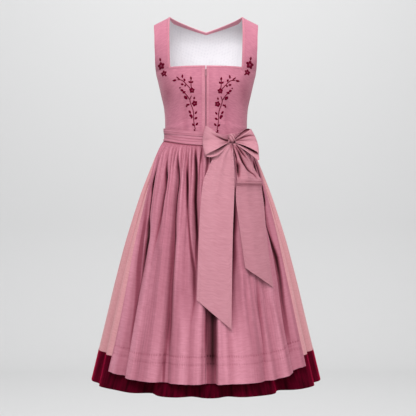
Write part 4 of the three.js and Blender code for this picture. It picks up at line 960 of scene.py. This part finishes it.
# The band: rounded edges, a foot that stands out over the gathers, and one pressed fold along its middle.
row, degrees = np.meshgrid(np.linspace(0, 1, 22), np.linspace(-86, 86, 240), indexing="ij")
above = mix(26, -4, row)
edge = np.minimum(row, 1 - row)
lift = 0.4 + 4.0 * np.clip((3 - above) / 7, 0, 1) + 1.9 - 0.9 * np.exp(-edge / 0.035)
fold_line = np.interp(degrees, [-86, -60, -3, 86], [15.5, 14.5, 12.5, 13])
lift = lift + 1.1 * smooth((fold_line - above) / 1.6) - 0.5 * bell((above - fold_line) / 1.2)
drag = 0.35 * np.sin(0.5 * above + 0.04 * degrees) + 0.3 * np.sin(0.9 * above - 0.03 * degrees + 1)
angle = np.radians(degrees)
band_outer = on_waist(angle, above, np.minimum(lift + drag * smooth(edge * 8), lift + 0.6))
band_inner = on_waist(angle, above, 0.5 + 4.0 * np.clip((3 - above) / 7, 0, 1))
# Painted shade: a flat tone over the band, stronger along its pressed fold and lighter a little above it.
turned = 0.17 + 0.3 * bell((above - fold_line + 0.4) / 0.9) - 0.16 * bell((above - fold_line - 4 * drag - 4) / 3)
cloth = shell(band_outer, band_inner, deep=np.clip(turned, 0, 1))
band = piece("apron_band_cloth", [cloth], rose_satin, crisp=60)
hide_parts("apron_band")


TIES = {  # by station round the waist: degrees, heights of both edges above the seam, distance out
    "tie_from_right": {
        "angle": [-86.6, -112, -140, -163, -180, -197, -210, -235, -262, -280, -300, -314, -324],
        "low": [3, 2, 3, 6, 11, 21, 22, 22, 14, 12, 11, 8, 4],
        "high": [26, 23, 22, 26, 31, 40, 42, 42, 36, 33, 30, 24, 18],
        "out": [0.4, 0.4, 0.4, 0.4, 0.4, 0.4, 0.4, 2.8, 2.9, 2.8, 2.8, 2.8, 2.9],
    },
    "tie_from_left": {
        "angle": [86.6, 100, 125, 150, 163, 180, 203, 225, 250, 270, 290, 310, 330, 350, 366, 380, 391],
        "low": [3, 2, 1.5, 1.5, 1.5, 10, 13, 15, 16, 17, 18, 20, 22, 23, 21, 13, 5],
        "high": [26, 24, 20, 20, 20, 31, 34, 36, 35, 34, 35, 36, 37, 38, 36, 30, 20],
        "out": [0.4, 0.4, 0.4, 0.4, 2.8, 2.8, 2.8, 2.8, 2.8, 2.8, 2.8, 2.8, 2.8, 2.8, 2.8, 2.8, 2.9],
    },
}
for name, table in TIES.items():
    row, station = np.meshgrid(np.linspace(0, 1, 16), np.linspace(0, len(table["angle"]) - 1, 220), indexing="ij")
    if table["angle"][-1] < table["angle"][0]:
        station = station[:, ::-1]
    read = {key: np.interp(station, np.arange(len(column)), column) for key, column in table.items()}
    angle, above = np.radians(read["angle"]), mix(read["high"], read["low"], row)
    edge = np.minimum(row, 1 - row)
    creases = 0.45 * np.sin(9.5 * row + 0.7 * angle) + 0.35 * np.sin(17 * row - 1.3 * angle + 1)
    rise = 1.4 + (0.5 * creases - 0.2) * smooth(edge * 6) - 0.7 * np.exp(-edge / 0.05)
    outer, inner = (on_waist(angle, above, read["out"] + out) for out in (rise, 0.15))
    # Painted shade: a flat tone over the ties, stronger in the hollows between their creases and lighter on the ridges.
    shade = np.clip(0.15 - 0.1 * creases, 0, 1)
    tie = piece(name + "_cloth", [shell(outer, inner, deep=shade)], rose_satin, crisp=60)
    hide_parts(name)


# Bow
# The ties end in a bow of the same ribbon: a small tight knot, two full loops whose hollows lie in shade and
# painted shade, and two long tails with slanted ends and stitched edges. The ribbon is doubled satin.

# The taffeta doubled and pressed, a little smoother than the apron; its paler, greyer colour is a painted sheen
# highlight.
ribbon_painted_paler = woven("rose_satin_ribbon_painted_paler", "#AA747F", "#B47E89", 0.0028, 0.03, 0.36, 0.04, "#FFE4EA", 0.3, 0.25)
KNOT = {"angle": 33.5, "above": 12, "out": 15.3, "half_width": 13, "half_height": 13.5, "half_depth": 10}
knot_angle = np.radians(KNOT["angle"])
knot_base, knot_centre, knot_ahead = (
    on_waist(knot_angle, KNOT["above"], out) for out in (0, KNOT["out"], KNOT["out"] + 1)
)
knot_normal = knot_ahead - knot_centre
knot_across = np.array([-knot_normal[1], knot_normal[0], 0])


def cover(x, z):
    """The outermost face of band, ties and apron in front view, and its normal: an oval through their crests."""
    share = np.maximum(0, (-z - 404) / LENGTH)  # 404 mm down is about where the apron leaves its band
    side, depth = oval(0 * share, share)
    crest = np.interp(share, APRON_HANG["share"], np.add(APRON_HANG["crest"], APRON_HANG["gather"]))
    out = np.maximum(5.2, crest + 1.4)
    across = np.minimum(0.93, np.abs(x) / (side + out))
    beyond = np.maximum(0, np.abs(x) - 0.93 * (side + out))
    y = -(depth + out) * np.sqrt(1 - across**2) + beyond * (depth + out) / (side + out)
    normal = np.stack([across * np.sign(x) / (side + out), -np.sqrt(1 - across**2) / (depth + out), 0 * x], axis=-1)
    return np.stack([x, y, z], axis=-1), unit(normal)


def power(value, exponent):
    """A power that keeps the sign."""
    return np.sign(value) * np.abs(value) ** exponent


# The knot is a squared ball, narrow in its middle, with the folds of the ribbon wrapped aslant round it.
around, up = np.meshgrid(np.linspace(0, 2 * np.pi, 73), np.linspace(0.02, np.pi - 0.02, 33))
squared = [power(part, 0.72) for part in (np.sin(up) * np.sin(around), np.cos(up), np.sin(up) * np.cos(around))]
waisted = 1 - 0.14 * bell(squared[1] / 0.6) + 0.1 * squared[1]
slant = 0.75 * squared[0] + 0.65 * squared[1]
wrapped = np.abs(np.sin(4.2 * slant + 0.5)) ** 0.7
folds = 2.8 * wrapped - 1.8
size = [KNOT["half_width"] * waisted - 0.8, KNOT["half_height"] - 0.4, KNOT["half_depth"] - 1.3]
knot_points = knot_centre + sum(
    (part * length)[..., None] * axis
    for part, length, axis in zip(
        squared, (size[0], size[1], size[2] + folds * np.sin(up)), (knot_across, np.array([0, 0, 1.0]), knot_normal)
    )
)
knot_points[:, -1] = knot_points[:, 0]
# Painted shade in the grooves between the wrapped folds.
knot_shell = shell(knot_points, 0.9, deep=0.7 * (1 - wrapped) ** 2)
knot = piece("bow_knot_cloth", [knot_shell], ribbon_painted_paler, crisp=60)
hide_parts("bow_knot")


LOOPS = {  # both edges in front view at nine stations, from the knot in front round the far fold to the knot behind
    "bow_loop_right": {
        "top_x": [66, 52, 28, 10, 0, 9, 26, 50, 66],
        "top_z": [-398, -396, -382, -365, -358, -363, -380, -397, -400],
        "low_x": [67, 49, 30, 10, -1, 12, 34, 54, 67],
        "low_z": [-409, -419, -432, -444, -452, -457, -450, -431, -412],
        "lift": [12, 21, 28, 27, 17, 8, 5, 4, 5],
    },
    "bow_loop_left": {
        "top_x": [86, 100, 118, 128, 132, 127, 114, 98, 86],
        "top_z": [-398, -387, -373, -365, -366, -363, -370, -386, -398],
        "low_x": [87, 108, 130, 148, 155, 152, 134, 108, 87],
        "low_z": [-409, -417, -429, -440, -453, -465, -449, -428, -412],
        "lift": [12, 20, 26, 25, 17, 8, 5, 4, 5],
    },
}
LOOP_CREASES = {  # (station, share of the width, depth) along the crease, half width, strength of painted shade
    "bow_loop_right": [
        ([(0.1, 0.3, 5), (0.8, 0.26, 8), (1.5, 0.22, 7), (2.1, 0.2, 3), (2.8, 0.16, 0)], 3.0, 2),
        ([(0.1, 0.1, -2), (1, 0.08, -2.5), (2, 0.05, -2), (3, 0.03, 0)], 2.5, 0),
        ([(0.1, 0.62, 4), (0.7, 0.62, 4), (1.4, 0.6, 2), (2.2, 0.56, 0)], 2.0, 1.2),
        ([(0.1, 0.85, 3), (0.9, 0.8, 3), (1.8, 0.72, 2), (2.8, 0.68, 0)], 2.4, 0.6),
        ([(1.8, 0.45, 0), (2.6, 0.42, 2), (3.3, 0.5, 2), (3.9, 0.6, 0)], 5.0, 0.2),
    ],
    "bow_loop_left": [
        ([(0.1, 0.35, 4), (1.2, 0.22, 7), (2, 0.25, 5), (3, 0.3, 2), (3.6, 0.32, 0)], 2.2, 1.7),
        ([(0.1, 0.08, -2), (1, 0.08, -2.5), (2, 0.05, -2), (3, 0.03, 0)], 2.5, 0),
        ([(0.1, 0.55, 3), (0.9, 0.52, 4), (1.8, 0.5, 2), (2.5, 0.5, 0)], 2.0, 1),
        ([(0.1, 0.82, 3), (0.8, 0.8, 3), (1.6, 0.8, 1)], 1.8, 0.8),
        ([(1.5, 0.7, 0), (2.4, 0.66, 2), (3.2, 0.7, 2), (3.8, 0.75, 0)], 5.0, 0.2),
    ],
}


def loop_point(name, u, v):
    """Points and painted shade of a loop: a blend from its upper to its lower edge, bowed out at the far fold and in
    the middle of the front layer by sines, less its creases. The back layer carries painted shade inside and none at
    its lower lip, which stays light."""
    table, way = LOOPS[name], -1 if name.endswith("right") else 1
    station = 8 * u
    read = {key: along(table[key], station) for key in table}
    x, z = mix(read["top_x"], read["low_x"], v), mix(read["top_z"], read["low_z"], v)
    x = x + way * 8 * np.sin(np.pi * v) * bell((station - 4) / 1.3)
    behind = smooth((station - 4) / 0.8)
    tall = np.hypot(read["top_x"] - read["low_x"], read["top_z"] - read["low_z"])
    depth, painted_shade = creased(LOOP_CREASES[name], station, v, tall)
    bulge = mix(6, -2, behind) * np.sin(np.pi * v) * np.sin(np.pi * np.clip(station / 4.4, 0, 1))
    fan = 0.9 * np.sin(6.5 * np.pi * v + 1) * (1 - smooth(station / 2)) * smooth(station / 0.3)
    # Painted shade inside the loop: on the back layer between its upper edge and its lip, and along its upper edge.
    painted_hollow_shade = 0.9 * smooth((v - 0.2) / 0.2) * (1 - smooth((v - 0.7) / 0.14)) + 0.9 * (1 - smooth(v / 0.14))
    lip = 11 * smooth((v - 0.66) / 0.34) * behind * np.sin(np.pi * np.clip((8 - station) / 5, 0, 1))
    painted_shade = np.maximum(painted_shade, behind * np.clip(painted_hollow_shade, 0, 1))
    base, normal = cover(np.minimum(x, knot_base[0] + 20) if way > 0 else x, z)
    if way > 0:
        base[..., 1] += 0.3 * np.maximum(0, x - base[..., 0])
        base[..., 0] = x
        normal = np.broadcast_to(knot_normal, base.shape)
    return base + normal * (read["lift"] + bulge + lip + fan - depth)[..., None], painted_shade


for name in LOOPS:
    u, v = np.meshgrid(np.linspace(0, 1, 161), np.linspace(0, 1, 61))
    points, painted_shade = loop_point(name, u, v)
    ribbon = piece(name + "_cloth", [shell(points, 0.9, deep=painted_shade)], ribbon_painted_paler, crisp=60)
    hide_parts(name)


TAILS = {  # both edges in front view at ten stations from the knot to the cut end, and the distance out
    "bow_tail_right": {
        "left_x": [68, 48, 23, 6, -7, -14, -19, -22, -24, -26],
        "left_z": [-411.4, -431, -456, -495, -530, -584, -660, -734, -810, -877],
        "right_x": [77.6, 79, 82, 85, 86, 84, 80, 77, 75, 73],
        "right_z": [-411.4, -431, -455, -492, -530, -584, -668, -765, -865, -960],
        "out": [10.5, 10, 6, 4, 3, 3, 3, 3, 3, 3],
    },
    "bow_tail_left": {
        "left_x": [78.2, 83, 89, 89.5, 89.5, 89.5, 90, 98, 106, 115],
        "left_z": [-411.4, -434, -470, -500, -527, -545, -590, -658, -722, -787],
        "right_x": [88, 112, 132, 146, 161, 166, 175, 180, 188, 199],
        "right_z": [-411.4, -434, -465, -498, -526, -545, -592, -668, -757, -847],
        "out": [10.5, 7, 8, 11, 14, 6, 3, 3, 3, 3],
    },
}
TAIL_CREASES = {  # (share of the length, share of the width, depth) down the crease, half width, strength of painted shade
    "bow_tail_right": [
        ([(0.02, 0.85, 4), (0.08, 0.85, 5), (0.14, 0.85, 2)], 2.5, 1.36),
        ([(0.02, 0.35, 2), (0.1, 0.3, 3), (0.25, 0.28, 2), (0.5, 0.3, 1)], 5.0, 0.34),
        ([(0.1, 0.55, -2), (0.3, 0.5, -3), (0.5, 0.5, -1)], 8.0, 0),
    ],
    "bow_tail_left": [
        ([(0.03, 0.12, 5), (0.1, 0.12, 8), (0.16, 0.13, 12), (0.23, 0.12, 5)], 2.4, 1.7),
        ([(0.2, 0.1, 4), (0.26, 0.13, 10), (0.34, 0.1, 9), (0.42, 0.08, 2)], 5.5, 1.53),
        ([(0.05, 0.42, 4), (0.155, 0.46, 10), (0.235, 0.49, 13), (0.32, 0.65, 9), (0.38, 0.84, 5)], 3.8, 1.53),
        ([(0.02, 0.75, 5), (0.1, 0.76, 9), (0.16, 0.8, 7), (0.2, 0.85, 2)], 2.4, 1.7),
        ([(0.02, 0.55, -3), (0.12, 0.58, -5), (0.2, 0.66, -3)], 1.8, 0),
        ([(0.02, 0.95, -3), (0.12, 0.94, -4), (0.2, 0.96, -3)], 1.6, 0),
        ([(0.22, 0.3, -3), (0.3, 0.35, -4), (0.4, 0.4, -2)], 6.0, 0),
        ([(0.5, 0.45, 0), (0.62, 0.55, 1.5), (0.8, 0.6, 0)], 14.0, 0.17),
    ],
}


def tail_point(name, u, v):
    """Points and painted shade of a tail between the two edges of its table, less its creases, with fine weft-wise
    creases that come and go, a bar of folds where it leaves the knot and puckers along its stitched edges."""
    table = TAILS[name]
    read = {key: along(table[key], v * 9) for key in table}
    x, z = mix(read["left_x"], read["right_x"], u), mix(read["left_z"], read["right_z"], u)
    width = np.abs(read["right_x"] - read["left_x"])
    fold = 2.5 * np.sin(np.pi * u) * (1 + np.cos(4 * np.pi * u + 1)) * smooth(v / 0.12) * mix(1, 0.3, smooth(v / 0.7))
    depth, painted_shade = creased(TAIL_CREASES[name], v, u, width)
    base, normal = cover(x, z)
    weft = 0.3 * np.sin(0.42 * z + 1.5 * np.sin(0.031 * z)) * (0.4 + 0.6 * np.sin(0.05 * z + 3 * u) ** 2)
    weft = weft + 0.22 * np.sin(0.83 * z + 2 * u) * np.cos(0.07 * z + 1)
    ledge = 5 * smooth((v - 0.485) / 0.015) * (1 - smooth((v - 0.505) / 0.1)) if name.endswith("left") else 0
    edge = np.minimum(u, 1 - u) * width
    pucker = 0.5 * np.sin(0.95 * z) * bell((edge - 4) / 5) - 0.6 * bell((edge - 6.5) / 1.1) * smooth((v - 0.25) / 0.1)
    gathered = 1.4 * np.sin(7 * np.pi * u + 1) * (1 - smooth((v - 0.02) / 0.16))
    out = read["out"] + fold + weft * smooth((v - 0.12) / 0.2) + pucker + gathered + ledge - depth
    # Painted shade: each tail is painted a little darker all over than the loops, the wearer's left tail more, with a
    # painted shadow under its ledge.
    tail_painted_shade = 0.14 if name.endswith("left") else 0.06
    painted_shade = np.maximum(painted_shade, tail_painted_shade + (0.2 * bell((v - 0.535) / 0.02) if name.endswith("left") else 0))
    return base + normal * np.maximum(out, 1.2)[..., None], painted_shade


for name in TAILS:
    u, v = np.meshgrid(np.linspace(0, 1, 71), np.linspace(0, 1, 260))
    points, painted_shade = tail_point(name, u, v)
    tail = piece(name + "_cloth", [shell(points, 0.9, deep=painted_shade)], ribbon_painted_paler, crisp=60)
    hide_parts(name)


# Studio
# A pale floor that sweeps up into a backdrop. A large soft key light stands high in front, with a small one for the
# shoulders, one level with the skirt, a fill from the right and one that lights the backdrop.


def sweep(distance):
    """Floor and wall in one: flat 1.95 m below the shoulders, then a quarter turn 1.2 m round, then upright."""
    turn = np.linspace(0, np.pi / 2, 24)
    y = np.concatenate([[-5.0], distance + 1.2 * np.sin(turn), [distance + 1.2]])
    z = np.concatenate([[-1.95], -1.95 + 1.2 * (1 - np.cos(turn)), [4.5]])
    return y, z


y, z = sweep(4.6)
points = np.stack([np.tile([-6.0, 6.0], len(y)), np.repeat(y, 2), np.repeat(z, 2)], axis=-1)
faces = [(2 * i, 2 * i + 1, 2 * i + 3, 2 * i + 2) for i in range(len(y) - 1)]
mesh = bpy.data.meshes.new("studio_sweep")
mesh.from_pydata(points.tolist(), [], faces)
mesh.shade_smooth()
paper = bpy.data.materials.new("pale_grey_paper")
paper.use_nodes = True
paper.node_tree.nodes["Principled BSDF"].inputs["Base Color"].default_value = linear("#D8D8D8")
paper.node_tree.nodes["Principled BSDF"].inputs["Roughness"].default_value = 1.0
paper.node_tree.nodes["Principled BSDF"].inputs["Specular IOR Level"].default_value = 0.0
mesh.materials.append(paper)
backdrop = bpy.data.objects.new("studio_sweep", mesh)
bpy.context.collection.objects.link(backdrop)


def soft_light(name, place, target, size, power):
    """A square area light at a place in metres, turned to a target."""
    data = bpy.data.lights.new(name, "AREA")
    data.shape, data.size, data.energy = "SQUARE", size, power
    lamp = bpy.data.objects.new(name, data)
    bpy.context.collection.objects.link(lamp)
    way = np.array(target, float) - np.array(place, float)
    lamp.location = place
    flat = math.hypot(way[0], way[1])
    lamp.rotation_euler = (math.atan2(flat, -way[2]), 0, math.atan2(-way[0], way[1]))


soft_light("key", (-0.8, -2.5, 2.2), (0, 0, -0.5), 1.6, 104)
soft_light("shoulders", (0.1, -1.1, 0.9), (0, 0, -0.1), 0.6, 5.5)
soft_light("front", (0.2, -3.3, -0.3), (0, 0, -0.5), 1.5, 26)
soft_light("fill", (2.5, -1.8, 0.3), (0, 0, -0.6), 2.0, 26)
soft_light("backdrop", (0, 1.6, 3.6), (0, 6.6, -0.6), 5.0, 187)
world = bpy.data.worlds.new("studio")
bpy.context.scene.world = world
world.use_nodes = True
world.node_tree.nodes["Background"].inputs["Color"].default_value = linear("#F4F5F7")
world.node_tree.nodes["Background"].inputs["Strength"].default_value = 0.5
bpy.context.scene.view_settings.view_transform = "Standard"

camera_data = bpy.data.cameras.new("camera")
camera_data.lens = 81.13  # 2.25 picture widths: at 3 m, each of 416 pixels takes in 3.2 mm
camera_data.sensor_width = 36
camera = bpy.data.objects.new("camera", camera_data)
camera.location = (0.0064, -3.0, -0.611)
camera.rotation_euler = (math.pi / 2, 0, 0)
bpy.context.collection.objects.link(camera)
bpy.context.scene.camera = camera
